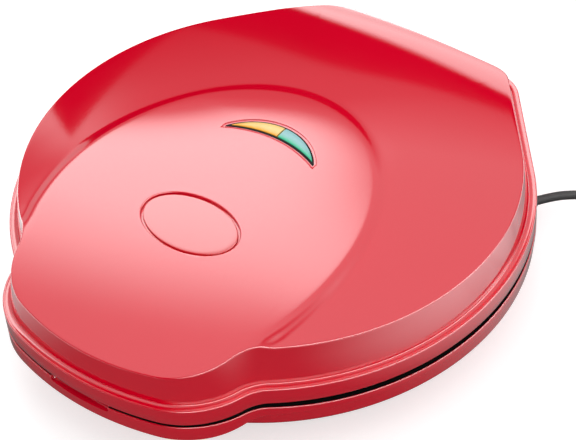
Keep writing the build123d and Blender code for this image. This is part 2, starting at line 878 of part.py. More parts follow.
def make_base_shell():
    outer = bowl_outer()
    shell = outer - bowl_inner()
    post_top = parting_z - base_post_drop
    posts = [cylinder(x, y, foot_height, post_top, base_post_radius)
             for x, y in ring_of(base_screw_circle, base_screw_angles)]
    half = finger_half_width + shell_wall
    notch_low = parting_z - parting_half_gap - finger_height
    finger_block = block(-half, half, -front_reach - over, -front_reach + finger_depth + shell_wall,
                         foot_height, parting_z)
    shelf = block(-block_half_width, block_half_width, hinge_y - shelf_reach, rear_reach,
                  parting_z - shelf_drop, parting_z)
    shell = shell + (joined(posts + [finger_block, shelf]) & outer)
    shell = shell - hinge_sweep(lid_corner_reach + sweep_gap, block_half_width + over)
    shell = shell + joined(base_ears())
    notch = block(-finger_half_width, finger_half_width, -front_reach - over,
                  -front_reach + finger_depth, notch_low, parting_z + over)
    corners = notch.edges().filter_by(Axis.Z)
    notch = fillet(corners, finger_corner_radius)
    shell = shell - notch
    for x, y in ring_of(base_screw_circle, base_screw_angles):
        shell = shell - cylinder(x, y, 0, post_top - base_screw_web, screw_head_radius + hole_gap)
        shell = shell - cylinder(x, y, 0, post_top + over, screw_radius + hole_gap)
    for x, y in ring_of(foot_circle, foot_angles):
        shell = shell - cylinder(x, y, 0, foot_height + shell_wall + over,
                                 foot_spigot_radius + seat_gap)
    for s in (-1, 1):
        shell = shell - along_x(s * ear_x - ear_width, s * ear_x + ear_width, hinge_y, hinge_z,
                                pin_radius + pin_press_gap)
    return shell - relief_axis_solid(-relief_tail - relief_inside, 2 * over,
                                     relief_body_radius + seat_gap)


def make_base_screws():
    shapes = []
    seat = base_post_drop + base_screw_web + seat_gap
    tip = base_post_drop - base_screw_grip
    for x, y in ring_of(base_screw_circle, base_screw_angles):
        shapes.append(pan_head_screw(x, y, -1, seat, tip, screw_head_radius))
    return Compound(shapes)


def make_feet():
    shapes = []
    for x, y in ring_of(foot_circle, foot_angles):
        pad_height = foot_height - foot_seat_gap
        pad = Pos(x, y, pad_height / 2) * Cone(foot_radius - foot_flare, foot_radius, pad_height)
        shapes.append(pad + cylinder(x, y, pad_height - bite, foot_height + shell_wall + foot_spigot_proud,
                                     foot_spigot_radius))
    return Compound(shapes)


def make_hinge_pins():
    reach = ear_width / 2 + ear_gap + cheek_width - pin_end_gap - seat_gap
    return Compound([along_x(s * ear_x - reach, s * ear_x + reach, hinge_y, hinge_z, pin_radius)
                     for s in (-1, 1)])


# Window, badge and lamps in the lid

def make_bezel():
    """Dark frame around the window, seated in its opening."""
    body = (crescent(-seat_gap, window_low, wall_top)
            - crescent(-seat_gap - bezel_wall, window_low, wall_top))
    return tongue_slab(body, bezel_drop, bezel_depth)


def make_lens(side):
    """One half of the crescent lens, domed a little above the bezel."""
    body = crescent(-2 * seat_gap - bezel_wall, window_low, wall_top)
    near = side * lens_split / 2
    half = block(min(near, side * far), max(near, side * far), -far, far, 0, wall_top)
    return tongue_slab(body & half, -lens_proud, bezel_depth - lens_back_drop)


def make_lamp_holder():
    top = parting_z + crown_height - lamp_drop - seat_gap
    half = lamp_post_x + lamp_holder_end
    front = lamp_post_y - lamp_holder_front
    plate = block(-half, half, front, front + lamp_holder_length, top - lamp_holder_thickness, top)
    for s in (-1, 1):
        plate = plate - cylinder(s * lamp_post_x, lamp_post_y, top - over, top + over,
                                 small_screw_radius + hole_gap)
    return plate


def make_lamp_screws():
    top = parting_z + crown_height - lamp_drop - lamp_holder_thickness - 2 * seat_gap
    shapes = []
    for s in (-1, 1):
        x = s * lamp_post_x
        head = cylinder(x, lamp_post_y, top - small_head_height, top, small_head_radius)
        shapes.append(head + cylinder(x, lamp_post_y, top - bite, top + small_screw_reach,
                                      small_screw_radius))
    return Compound(shapes)


def make_lamps():
    base = parting_z + crown_height - lamp_drop
    y = (window_outer_rise + window_inner_rise) / 2
    shapes = []
    for s in (-1, 1):
        bulb = cylinder(s * lamp_x, y, base, base + lamp_height - lamp_radius, lamp_radius)
        shapes.append(bulb + Pos(s * lamp_x, y, base + lamp_height - lamp_radius) * Sphere(lamp_radius))
    return Compound(shapes)


def make_plaque():
    """Bare oval plate in the badge recess."""
    return tongue_slab(oval(-badge_groove, window_low, wall_top), badge_plate_drop,
                       badge_recess - seat_gap)


def make_lid_screws():
    shapes = []
    low = parting_z + parting_half_gap
    for x, y in lid_screw_places:
        head = Pos(x, y, low + screw_head_height / 2) * Cone(screw_head_radius, screw_radius,
                                                             screw_head_height)
        shapes.append(head + cylinder(x, y, low + screw_head_height / 2, low + lid_screw_length,
                                      screw_radius))
    return Compound(shapes)


# Cord, with distances along the strain relief's axis counted from its tip towards the outside

exit_dx = math.cos(math.radians(cord_exit_angle))
exit_dy = math.sin(math.radians(cord_exit_angle))
relief_tip = ring_of(body_radius + relief_reach, [cord_place_angle])[0]
cord_radius = cord_diameter / 2
lower_turn_z = coil_lift + coil_turn_pitch / 2
upper_turn_z = lower_turn_z + coil_turn_pitch
outer_turn = coil_mean_radius + coil_turn_pitch / 2
coil_centre = (body_radius + coil_side_gap + coil_mean_radius + coil_section / 2, coil_centre_y)


def exit_point(distance):
    return Vector(relief_tip[0] + exit_dx * distance, relief_tip[1] + exit_dy * distance,
                  cord_exit_height)


def relief_axis_solid(start, end, radius, end_radius=None):
    frame = Plane(exit_point(start), z_dir=Vector(exit_dx, exit_dy, 0))
    if end_radius is None:
        return extrude(frame * Circle(radius), end - start)
    far = Plane(exit_point(end), z_dir=Vector(exit_dx, exit_dy, 0))
    return loft([frame * Circle(radius), far * Circle(end_radius)])


def make_strain_relief():
    """Tapered sleeve with a flange inside the housing."""
    inside = -relief_tail - relief_inside
    sleeve = relief_axis_solid(-relief_tail, 0, relief_body_radius, relief_tip_radius)
    sleeve = sleeve + relief_axis_solid(inside, -relief_tail, relief_body_radius)
    return sleeve + relief_axis_solid(inside - relief_flange, inside, relief_flange_radius)


def make_inner_cord():
    start = -terminal_back + terminal_length / 2 + seat_gap
    end = -relief_tail - relief_inside - relief_flange - seat_gap
    return relief_axis_solid(start, end, cord_radius)


def make_terminal_block():
    floor = foot_height + shell_wall + seat_gap
    turned = Rot(0, 0, cord_exit_angle) * Box(terminal_length, terminal_width, terminal_height)
    centre = exit_point(-terminal_back)
    body = Pos(centre.X, centre.Y, floor + terminal_height / 2) * turned
    for k in (-1, 0, 1):
        pit = Cylinder(terminal_screw_radius, 2 * terminal_screw_depth)
        along = Rot(0, 0, cord_exit_angle) * Pos(0, k * terminal_screw_pitch, 0) * pit
        body = body - Pos(centre.X, centre.Y, floor + terminal_height) * along
    return body


coil_entry_y = coil_centre[1] + outer_turn
stub_x = coil_centre[0] - coil_entry_stub
cord_route = [
    (relief_tip[0], relief_tip[1], cord_exit_height),
    (relief_tip[0] + exit_dx * first_run, relief_tip[1] + exit_dy * first_run, cord_exit_height),
    (141.0, 148.0, 13.2),
    (153.5, 159.0, 9.5),
    (169.0, 167.0, 5.2),
    (186.0, coil_entry_y, lower_turn_z),
    (stub_x, coil_entry_y, lower_turn_z),
]


def corner_radii(points):
    """Radius for each corner: a share of the shorter run over the tangent of half the turn."""
    radii = []
    for before, here, after in zip(points, points[1:], points[2:]):
        into = Vector(*here) - Vector(*before)
        out = Vector(*after) - Vector(*here)
        half_turn = math.radians(into.get_angle(out)) / 2
        radii.append(corner_share * min(into.length, out.length) / math.tan(half_turn))
    return radii


def make_mains_cord():
    radii = corner_radii(cord_route)
    print("cord radii", [round(r, 1) for r in radii])
    path = FilletPolyline(*[Vector(*p) for p in cord_route], radius=radii)
    section = Plane(path @ 0, z_dir=path % 0) * Circle(cord_radius)
    tube = sweep(section, path)
    print("cord volume", round(tube.volume, 1), "section times length",
          round(math.pi * cord_radius ** 2 * path.length, 1), "length", round(path.length, 1))
    return tube


def make_coil():
    """Outer shape of the coiled cord, with the straight ends where it enters and leaves."""
    outer = coil_mean_radius + coil_section / 2
    inner = coil_mean_radius - coil_section / 2
    x, y = coil_centre
    ring = cylinder(x, y, coil_lift, coil_lift + coil_section, outer)
    ring = fillet(ring.edges().filter_by(GeomType.CIRCLE), cord_radius * coil_edge_share)
    ring = ring - cylinder(x, y, 0, coil_lift + coil_section + over, inner)
    entry = along_x(stub_x, x, coil_entry_y, lower_turn_z, cord_radius)
    leave = Pos(x + outer_turn, y - plug_stub / 2, upper_turn_z) * Rot(90, 0, 0) * Cylinder(
        cord_radius, plug_stub)
    return ring + entry + leave


def make_tie():
    """Flat band around the coil's section."""
    x, y = coil_centre
    wide = coil_section + 2 * tie_room
    tall = coil_section + 2 * seat_gap
    centre = Pos(x, y - coil_mean_radius, coil_lift + coil_section / 2)
    outer = centre * Box(tie_width, wide + 2 * tie_thickness, tall + 2 * tie_thickness)
    inner = centre * Box(tie_width + over, wide, tall)
    return outer - inner


plug_neck_y = coil_centre[1] - plug_stub
plug_x = coil_centre[0] + outer_turn


def make_plug():
    """Moulded three-pin plug lying on its back."""
    y1 = plug_neck_y - plug_neck_length
    body = block(plug_x - plug_width / 2, plug_x + plug_width / 2, y1 - plug_length, y1, 0,
                 plug_thickness)
    body = fillet(body.edges().filter_by(Axis.Z), plug_corner_radius)
    body = chamfer(body.edges().group_by(Axis.Z)[0], plug_chamfer)
    neck = Cylinder(plug_neck_radius, plug_neck_length + bite)
    neck_y = (plug_neck_y + y1 - bite) / 2
    return body + Pos(plug_x, neck_y, upper_turn_z) * Rot(90, 0, 0) * neck


def make_plug_pins():
    y1 = plug_neck_y - plug_neck_length
    middle = y1 - plug_length / 2
    low = plug_thickness
    high = plug_thickness + pin_length
    earth = block(plug_x - pin_blade_thick / 2, plug_x + pin_blade_thick / 2,
                  middle + earth_pin_offset - earth_blade_wide / 2,
                  middle + earth_pin_offset + earth_blade_wide / 2, low, high)
    shapes = [earth]
    for s in (-1, 1):
        x = plug_x + s * live_pin_x
        y = middle - live_pin_offset
        shapes.append(block(x - pin_blade_wide / 2, x + pin_blade_wide / 2, y - pin_blade_thick / 2,
                            y + pin_blade_thick / 2, low, high))
    return Compound(shapes)


save("lid_shell", make_lid_shell())
save("lid_frame", make_lid_frame())
save("base_frame", make_base_frame())
save("base_shell", make_base_shell())
for name, side in (("upper", 1), ("lower", -1)):
    save(f"{name}_plate", make_plate(side))
    save(f"{name}_plate_screws", make_plate_screws(side))
    save(f"{name}_element", make_element(side))
    save(f"{name}_element_clamps", make_clamps(side))
    save(f"{name}_reflector", make_reflector(side))
    save(f"{name}_reflector_screws", make_reflector_screws(side))
    save(f"{name}_thermal_fuse", make_fuse(side))
save("thermostat", make_thermostat())
save("base_screws", make_base_screws())
save("feet", make_feet())
save("hinge_pins", make_hinge_pins())
save("window_bezel", make_bezel())
save("amber_lens", make_lens(-1))
save("green_lens", make_lens(1))
save("lamp_holder", make_lamp_holder())
save("lamp_holder_screws", make_lamp_screws())
save("indicator_lamps", make_lamps())
save("badge_plaque", make_plaque())
save("lid_screws", make_lid_screws())
save("strain_relief", make_strain_relief())
save("inner_cord", make_inner_cord())
save("terminal_block", make_terminal_block())
save("mains_cord", make_mains_cord())
save("cord_coil", make_coil())
save("cord_tie", make_tie())
save("plug_body", make_plug())
save("plug_pins", make_plug_pins())
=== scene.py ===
from math import acos, atan2, cos, hypot, pi, radians, sin, sqrt

import bmesh
import bpy
from mathutils import Matrix, Vector


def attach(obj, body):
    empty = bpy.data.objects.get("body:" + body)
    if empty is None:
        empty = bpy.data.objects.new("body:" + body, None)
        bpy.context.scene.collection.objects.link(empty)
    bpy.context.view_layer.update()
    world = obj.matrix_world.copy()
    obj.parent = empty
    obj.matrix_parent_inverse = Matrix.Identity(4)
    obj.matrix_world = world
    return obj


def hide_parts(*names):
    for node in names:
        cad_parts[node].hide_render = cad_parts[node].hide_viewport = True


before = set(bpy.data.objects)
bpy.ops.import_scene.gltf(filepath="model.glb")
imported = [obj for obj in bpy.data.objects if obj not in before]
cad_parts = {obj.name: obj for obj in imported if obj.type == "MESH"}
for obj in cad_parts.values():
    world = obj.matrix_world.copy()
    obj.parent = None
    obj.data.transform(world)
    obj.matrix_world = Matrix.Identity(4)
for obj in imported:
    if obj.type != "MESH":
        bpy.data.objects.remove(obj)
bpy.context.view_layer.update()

# Electric pizza maker, closed, in metres and in the frame of the CAD model: the floor is z = 0, the
# front lobe points to -Y and the hinge is at +Y. Plan shapes are drawn about the plates' centre.
mm = 0.001
plate_y = 6.5 * mm
parting_z = 46.0 * mm
parting_half_gap = 1.2 * mm

# How far cutters reach past the piece
over = 5.0 * mm

# Plan of the housing
body_radius = 172.0 * mm
front_reach = 195.0 * mm
rear_reach = 182.0 * mm
lobe_front_radius = 203.0 * mm
lobe_corner_radius = 57.5 * mm
lobe_corner_x = 39.3 * mm
lobe_blend_radius = 28.0 * mm
block_half_width = 88.0 * mm
block_corner_radius = 29.0 * mm

# Points on half of the outline: front arc, corner, blend, body, flat side, rear corner and rear edge
arc_counts = (26, 30, 26, 112, 14, 24, 22)

# Lid profile, heights above the lid's bottom edge
skirt_height = 11.8 * mm
skirt_round = 0.9 * mm
ledge_dip = 0.3 * mm
ledge_fillet = 0.8 * mm
wall_inset = 5.2 * mm
crown_inset = 8.5 * mm
wall_foot = 12.6 * mm
wall_draft = 3.5 / 20.4
wall_metal = 2.5 * mm
crown_round = 0.9 * mm

# Rows of points over the lid's inside, its rounded top edge, its fillets and its crown
inner_rows = 8
edge_rows = 8
fillet_rows = 6
crown_rows = 96

# Crown of the lid
crown_middle_y = -36.0 * mm
crown_height = 53.6 * mm
crown_y = 15.0 * mm
front_fall = 0.57
rear_fall = 1.68
side_fall = 0.6
side_fall_start_y = -110.0 * mm
side_fall_full_y = 15.0 * mm
crease_half_width = 101.8 * mm
crease_half_length = 130.8 * mm
crease_y = -75.0 * mm
crease_step = 1.7 * mm
crease_step_change = 1.1 * mm
crease_ramp = 5.6 * mm
crease_soft = 1.1 * mm
rim_radius = 163.0 * mm
rim_height = 36.4 * mm
rim_tilt = 0.02
ring_least_width = 14.0 * mm
ring_bow = 0.18
ring_fade_low_y = -146.0 * mm
ring_fade_high_y = -126.0 * mm
strip_front_y = 142.0 * mm
strip_drop = 9.2 / 32.2
strip_bulge = 0.7 * mm
crest_soft = 1.8 * mm
crest_forward = 2.4 * mm

# Window and badge
window_half_length = 37.0 * mm
window_outer_rise = 20.7 * mm
window_inner_rise = 8.6 * mm
window_tip_cut = 1.6 * mm
window_groove_out = 1.7 * mm
window_groove_depth = 0.45 * mm
bezel_edge = 1.45 * mm
# The lens is shifted back so the black frame shows wider at the front: painted shade for the gap there
lens_shift = 0.45 * mm
lens_half_gap = 0.55 * mm
badge_y = -79.3 * mm
badge_half_length = 36.0 * mm
badge_half_width = 21.3 * mm
badge_depth = 2.0 * mm
badge_lip = 0.8 * mm
badge_groove = 1.3 * mm

# Base
foot_height = 5.0 * mm
lip_height = 7.8 * mm
lip_round = 0.7 * mm
lobe_lip_drop = 3.6 * mm
bowl_wall_height = 8.6 * mm
bowl_wall_inset = 0.8 * mm
bowl_bottom_inset = 25.6 * mm
bowl_rows = 7
lobe_lip_y = (-172.0 * mm, -120.0 * mm)
base_top = parting_z - parting_half_gap
base_top_drop = 2.5 * mm
side_drop_y = (-190.0 * mm, -105.0 * mm)
rear_rise_y = (95.0 * mm, 130.0 * mm)
finger_half_width = 23.0 * mm
finger_back = 5.5 * mm
finger_block = 12.0 * mm
finger_height = 4.2 * mm
# Painted shade: a black bead without gloss fills the shaded gap between the two halves
trim_inset = 0.75 * mm
trim_top = parting_z - 0.1 * mm

# Hinge
hinge_y = rear_reach - 9.0 * mm
hinge_z = parting_z + 9.0 * mm
ear_x = 58.0 * mm
ear_half = 7.0 * mm
ear_radius = 7.0 * mm
ear_low = parting_z - 12.0 * mm
sweep_radius = 12.6 * mm
shelf_y = hinge_y - 4.6 * mm
shelf_low = parting_z - 6.5 * mm
slot_half = ear_half + 0.6 * mm
slot_front = hinge_y - ear_radius - 0.6 * mm
slot_top = parting_z + 19.4 * mm
cheek_width = 7.0 * mm
cheek_front = rear_reach - 20.0 * mm
cheek_top = parting_z + 20.0 * mm

# Plates, with depths counted from the parting plane
plate_radius = 163.5 * mm
plate_gap = 0.3 * mm
plate_metal = 3.0 * mm
pan_radius = 150.0 * mm
pan_floor_radius = 146.0 * mm
pan_depth = 9.0 * mm
boss_circle = 158.5 * mm
boss_angles = (0, 90, 180, 270)
boss_radius = 3.6 * mm
standoff_circle = 115.0 * mm
standoff_angles = (0, 120, 240)
standoff_radius = 3.5 * mm
reflector_depth = 25.0 * mm

# Screws and feet
screw_radius = 1.6 * mm
head_radius = 3.9 * mm
washer_radius = 6.0 * mm
head_height = 2.4 * mm
screw_turns = (12, 47, 80, 25, 63, 5)
lid_screws = ((-50.0, -166.5), (50.0, -166.5), (-27.0, 169.8), (27.0, 169.8))
base_screw_circle = 156.0 * mm
post_radius = 6.0 * mm
head_bore_radius = 4.2 * mm
screw_bore_radius = 1.7 * mm
foot_circle = 118.0 * mm
foot_seat_radius = 3.6 * mm
corner_angles = (30, 150, 210, 330)

# Mains cord
cord_diameter = 6.2 * mm
exit_angle = radians(55.0)
relief_tip = (123.80 * mm, 126.70 * mm, 15.0 * mm)
relief_hole_radius = 5.1 * mm
cord_route = ((123.8, 126.7, 15.0), (131.03, 137.02, 15.0), (141.0, 148.0, 13.2), (153.5, 159.0, 9.5),
              (169.0, 167.0, 5.2), (186.0, 171.0, 4.05), (199.0, 171.0, 4.05))
coil_centre = (221.5 * mm, 133.9 * mm)
coil_outer = 37.1 * mm
coil_inner = 30.8 * mm
coil_low_z = 4.05 * mm
coil_high_z = 10.35 * mm
coil_points = 16
coil_change = 4
tie_half_size = (4.0 * mm, 6.75 * mm, 6.4 * mm)
tie_thickness = 0.7 * mm
plug_stub = 26.0 * mm
plug_width = 50.0 * mm
plug_length = 48.0 * mm
plug_thickness = 22.0 * mm
plug_neck_length = 14.0 * mm
pin_length = 18.0 * mm

# Pins: place from the plug's middle, width and depth in mm
pin_sizes = ((0.0, 11.0, 4.0, 8.0), (-11.1, -11.0, 6.4, 4.0), (11.1, -11.0, 6.4, 4.0))

# Camera
camera_azimuth = radians(41.052)
camera_elevation = radians(43.165)
camera_distance = 1304.37 * mm
camera_roll = radians(-5.3325)
camera_lens = 123.99
camera_shift = (0.02624, -0.02364)

# Studio light: levels against the sine of the height above the horizon, and edges of the flags as
# pairs of azimuth and elevation in degrees, each with how softly it ends
band_levels = ((0.0, 0.75), (0.06, 0.75), (0.12, 1.0), (0.34, 1.0), (0.40, 0.0), (1.0, 0.0))
band_strength = 1.85
band_top = ((-33.0, 12.8), (-22.0, 19.6))
band_top_blur = (-0.045, 0.045)
band_edge = -38.0
band_edge_blur = (-0.04, 0.06)
band_left = 0.4
sky_levels = ((0.0, 0.0), (0.30, 0.07), (0.36, 0.15), (0.40, 0.22), (0.48, 0.27), (0.54, 0.50),
              (0.60, 0.78), (1.0, 1.0))
sky_strength = 1.4
flag_top = ((-23.0, 28.3), (-42.0, 18.8))
flag_side = ((-50.3, 20.0), (-60.0, 25.6))
flag_blur = (-0.006, 0.012)
flag_low = -59.4
flag_low_blur = (-0.008, 0.012)
behind_azimuth = -41.0
behind_blur = (-0.12, 0.2)
side_place = (-58.5, 24.5)
side_tightness = 250.0
side_strength = 0.85
rim_strip = ((51.0, 29.0), (131.0, 47.0))
rim_middle = (95.0, 45.0)
rim_fade = (0.45, 0.8)
rim_tightness = 12.0
rim_strength = 10.0
box_azimuth = -51.5
box_elevation = 46.0
box_tilt = radians(-16.0)
box_tightness = (14.0, 48.0)
box_reach = 2.2
box_strength = 3.8
even_low = 0.50
even_high = 0.90
lamp_distance = 2.4

# Floor: its own shade, a darker painted shade and painted pools of light that only gloss sees
floor_size = 14.0
floor_pale = 0.62
floor_lift = 0.60
floor_glossy = 0.17
pool_azimuth = 75.0
pool_start = 0.13
pool_end = 0.30
pool_strength = 2.6
left_pool_strength = 3.0


# Plan outline of the housing at an inset from its outermost edge, as in the CAD model

def swept(centre, radius, start, end, count):
    """Points on an arc from one angle up to, and not with, another."""
    return [(centre[0] + radius * cos(start + (end - start) * i / count),
             centre[1] + radius * sin(start + (end - start) * i / count)) for i in range(count)]


def direction(origin, target):
    return atan2(target[1] - origin[1], target[0] - origin[0])


def outline(inset, lobe=True):
    """Closed loop of points, anticlockwise from the front middle, matched from one inset to the next."""
    front_centre = (0.0, lobe_front_radius - front_reach)
    reach = lobe_front_radius - lobe_corner_radius
    corner = (lobe_corner_x, front_centre[1] - sqrt(reach ** 2 - lobe_corner_x ** 2))
    to_blend = lobe_corner_radius + lobe_blend_radius
    from_body = body_radius + lobe_blend_radius
    span = hypot(*corner)
    along = (from_body ** 2 - to_blend ** 2 + span ** 2) / (2 * span)
    aside = sqrt(from_body ** 2 - along ** 2)
    ux, uy = corner[0] / span, corner[1] / span
    blend = (ux * along - uy * aside, uy * along + ux * aside)
    block = (block_half_width - block_corner_radius, rear_reach - block_corner_radius)
    side = atan2(block[1], block[0]) - acos((body_radius - block_corner_radius) / hypot(*block))
    front_end = direction(front_centre, corner)
    corner_end = direction(corner, blend)
    body_start = atan2(blend[1], blend[0])
    middle = (0.0, 0.0)
    if lobe:
        half = swept(front_centre, lobe_front_radius - inset, -pi / 2, front_end, arc_counts[0])
        half += swept(corner, lobe_corner_radius - inset, front_end, corner_end, arc_counts[1])
        half += swept(blend, lobe_blend_radius + inset, corner_end + pi, body_start + pi, arc_counts[2])
    else:
        half = swept(middle, body_radius - inset, -pi / 2, body_start, sum(arc_counts[:3]))
    half += swept(middle, body_radius - inset, body_start, side, arc_counts[3])
    nx, ny = cos(side), sin(side)
    start = (nx * (body_radius - inset), ny * (body_radius - inset))
    end = (block[0] + nx * (block_corner_radius - inset), block[1] + ny * (block_corner_radius - inset))
    half += [(start[0] + (end[0] - start[0]) * i / arc_counts[4],
              start[1] + (end[1] - start[1]) * i / arc_counts[4]) for i in range(arc_counts[4])]
    half += swept(block, block_corner_radius - inset, side, pi / 2, arc_counts[5])
    half += [(block[0] * (1 - i / arc_counts[6]), rear_reach - inset) for i in range(arc_counts[6] + 1)]
    return half + [(-x, y) for x, y in half[-2:0:-1]]


# Height of the lid's crown above the parting plane

def smooth(edge_low, edge_high, value):
    share = min(1.0, max(0.0, (value - edge_low) / (edge_high - edge_low)))
    return share * share * (3 - 2 * share)


def tongue_height(x, y):
    fall = front_fall if y < crown_y else rear_fall
    share = max(0.0, (y - side_fall_start_y) / (side_fall_full_y - side_fall_start_y))
    return crown_height - fall * (y - crown_y) ** 2 - side_fall * share ** 2 * x ** 2


def crease_reach(angle):
    across = crease_half_length * cos(angle)
    along = crease_half_width * sin(angle)
    return crease_half_width * crease_half_length / hypot(across, along)


def rim_reach(angle):
    shift = crease_y * sin(angle)
    return -shift + sqrt(shift ** 2 + rim_radius ** 2 - crease_y ** 2)


def ring_height(angle, reach):
    """Ring between the crease and the rim: flatter near the crease and steeper near the rim."""
    crease = crease_reach(angle)
    rim = rim_reach(angle)
    step = crease_step - crease_step_change * sin(angle)
    crease_top = tongue_height(crease * cos(angle), crease_y + crease * sin(angle)) - step
    rim_top = rim_height - rim_tilt * (crease_y + rim * sin(angle))
    share = (rim - reach) / max(rim - crease, ring_least_width)
    return rim_top + (crease_top - rim_top) * (share + ring_bow * share * (1 - share))


def soft_ramp(value, width, soft):
    """Rises from 0 to 1 over a width, straight in the middle and rounded at both ends."""
    low = (sqrt((value + width / 2) ** 2 + soft ** 2) + value + width / 2) / 2
    high = (sqrt((value - width / 2) ** 2 + soft ** 2) + value - width / 2) / 2
    return (low - high) / width


def before_strip(x, y):
    """Height of the tongue and the ring round it, without the strip at the rear."""
    angle = atan2(y - crease_y, x)
    reach = hypot(x, y - crease_y)
    outside = soft_ramp(reach - crease_reach(angle) - crease_ramp / 2, crease_ramp, crease_soft)
    outside *= smooth(ring_fade_low_y, ring_fade_high_y, y)
    return tongue_height(x, y) * (1 - outside) + ring_height(angle, reach) * outside


def crown(x, y):
    """Height of the lid's top, folded down behind a straight crest to the rear strip."""
    past = y - strip_front_y + crest_forward
    if past < -crest_soft:
        return before_strip(x, y)
    start = strip_front_y - crest_forward - crest_soft
    level = before_strip(x, start)
    rise = (level - before_strip(x, start - 0.5 * mm)) / (0.5 * mm)
    along = past + crest_soft
    turn = min(along, 2 * crest_soft)
    fold = (turn ** 2 / (4 * crest_soft) + max(0.0, along - 2 * crest_soft)) * (-strip_drop - rise)
    share = max(0.0, past) / (rear_reach - crown_inset - strip_front_y)
    return level + rise * along + fold + 4 * strip_bulge * share * (1 - share)


# Meshes

def deselect_all():
    if bpy.context.object and bpy.context.object.mode != "OBJECT":
        bpy.ops.object.mode_set(mode="OBJECT")
    bpy.ops.object.select_all(action="DESELECT")


def linked(name, data):
    thing = bpy.data.objects.new(name, data)
    bpy.context.scene.collection.objects.link(thing)
    return thing


def tied(piece, body):
    """Makes a piece move with a body."""
    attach(piece, body)


def named(piece, name):
    piece.name = name
    piece.data.name = name


def chosen(piece):
    """Selects one piece and nothing else."""
    deselect_all()
    bpy.context.view_layer.objects.active = piece
    piece.select_set(True)


def edit_all(piece=None):
    """Opens a piece in edit mode with everything selected."""
    if piece:
        chosen(piece)
    bpy.ops.object.mode_set(mode="EDIT")
    bpy.ops.mesh.select_all(action="SELECT")


def face_outwards():
    bpy.ops.mesh.select_all(action="SELECT")
    bpy.ops.mesh.normals_make_consistent(inside=False)


def skinned(name, loops, body=None, ring=False):
    """Surface over matched loops, its ends filled or, in a ring, its last loop joined to its first."""
    rows, count = len(loops), len(loops[0])
    faces = []
    for row in range(rows if ring else rows - 1):
        a, b = row * count, (row + 1) % rows * count
        for i in range(count):
            j = (i + 1) % count
            faces.append((a + i, a + j, b + j, b + i))
    if not ring:
        faces.append(tuple(range(count - 1, -1, -1)))
        faces.append(tuple(range((rows - 1) * count, rows * count)))
    mesh = bpy.data.meshes.new(name)
    mesh.from_pydata([(x, y + plate_y, z) for loop in loops for x, y, z in loop], [], faces)
    mesh.update()
    piece = linked(name, mesh)
    if ring:
        edit_all(piece)
        face_outwards()
        deselect_all()
    if body:
        tied(piece, body)
    return piece


def modified(piece, kind, **settings):
    """Adds a modifier and applies it."""
    chosen(piece)
    modifier = piece.modifiers.new(kind.lower(), kind)
    for key, value in settings.items():
        setattr(modifier, key, value)
    bpy.ops.object.modifier_apply(modifier=modifier.name)
    piece.select_set(False)


def bevelled(piece, width, segments, angle=60):
    modified(piece, "BEVEL", width=width, segments=segments, limit_method="ANGLE",
             angle_limit=radians(angle))


def combined(piece, tool, operation):
    """Adds, cuts or intersects with a closed tool, which is then removed."""
    modified(piece, "BOOLEAN", operation=operation, object=tool, solver="EXACT")
    bpy.data.objects.remove(tool)


def cut(piece, tool):
    combined(piece, tool, "DIFFERENCE")


def fused(piece, others):
    """Adds closed solids to a piece."""
    combined(piece, joined(others, "fuse_tool"), "UNION")


def smoothed(piece, degrees):
    chosen(piece)
    bpy.ops.object.shade_smooth_by_angle(angle=radians(degrees))
    piece.select_set(False)


def finished(piece, degrees, node):
    """Shades a piece and hides the CAD node that it stands for."""
    smoothed(piece, degrees)
    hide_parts(node)
    return piece


def new_piece(name, body=None):
    """Names the object just modelled, with its place in its mesh, and ties it to its body."""
    piece = bpy.context.object
    if piece.mode != "OBJECT":
        bpy.ops.object.mode_set(mode="OBJECT")
    bpy.ops.object.transform_apply(location=True, rotation=True, scale=True)
    named(piece, name)
    if body:
        tied(piece, body)
    deselect_all()
    return piece


def boxed(name, low, high):
    """Block between two corners."""
    deselect_all()
    bpy.ops.mesh.primitive_cube_add(size=1.0, location=[(a + b) / 2 for a, b in zip(low, high)])
    bpy.context.object.scale = [b - a for a, b in zip(low, high)]
    return new_piece(name)


def turned(name, place, profile, segments=32):
    """Piece drawn up from a disc along a profile of radius and height, its ends closed."""
    deselect_all()
    radius, height = profile[0]
    bpy.ops.mesh.primitive_circle_add(vertices=segments, radius=radius, fill_type="NGON",
                                      location=(*place, height))
    bpy.ops.object.transform_apply(location=True, rotation=False, scale=False)
    edit_all()
    for next_radius, next_height in profile[1:]:
        bpy.ops.mesh.extrude_region_move(TRANSFORM_OT_translate={"value": (0.0, 0.0, next_height - height)})
        share = next_radius / radius
        bpy.ops.transform.resize(value=(share, share, 1.0), center_override=(*place, next_height))
        radius, height = next_radius, next_height
    face_outwards()
    return new_piece(name)


def drawn(name, points, low, high, upright=False):
    """Flat outline of points drawn out between two levels, along X or upright."""
    corners = [(a, b, low) if upright else (low, a, b) for a, b in points]
    step = (0.0, 0.0, high - low) if upright else (high - low, 0.0, 0.0)
    mesh = bpy.data.meshes.new(name)
    mesh.from_pydata(corners, [], [tuple(range(len(corners)))])
    edit_all(linked(name, mesh))
    bpy.ops.mesh.extrude_region_move(TRANSFORM_OT_translate={"value": step})
    face_outwards()
    return new_piece(name)


def shaped(piece, edge_test, offset, segments, face_test=None):
    """Drops some faces of a piece and rounds some of its edges, told by their directions."""
    mesh = bmesh.new()
    mesh.from_mesh(piece.data)
    if face_test:
        faces = [face for face in mesh.faces if face_test(face.normal)]
        bmesh.ops.delete(mesh, geom=faces, context="FACES_ONLY")
    edges = [edge for edge in mesh.edges if edge_test(edge.verts[0].co - edge.verts[1].co)]
    bmesh.ops.bevel(mesh, geom=edges, offset=offset, segments=segments, affect="EDGES")
    mesh.to_mesh(piece.data)
    mesh.free()


def copied(piece, name, matrix):
    """Copy with its own mesh, moved in the mesh."""
    twin = linked(name, piece.data.copy())
    named(twin, name)
    twin.data.transform(matrix)
    return twin


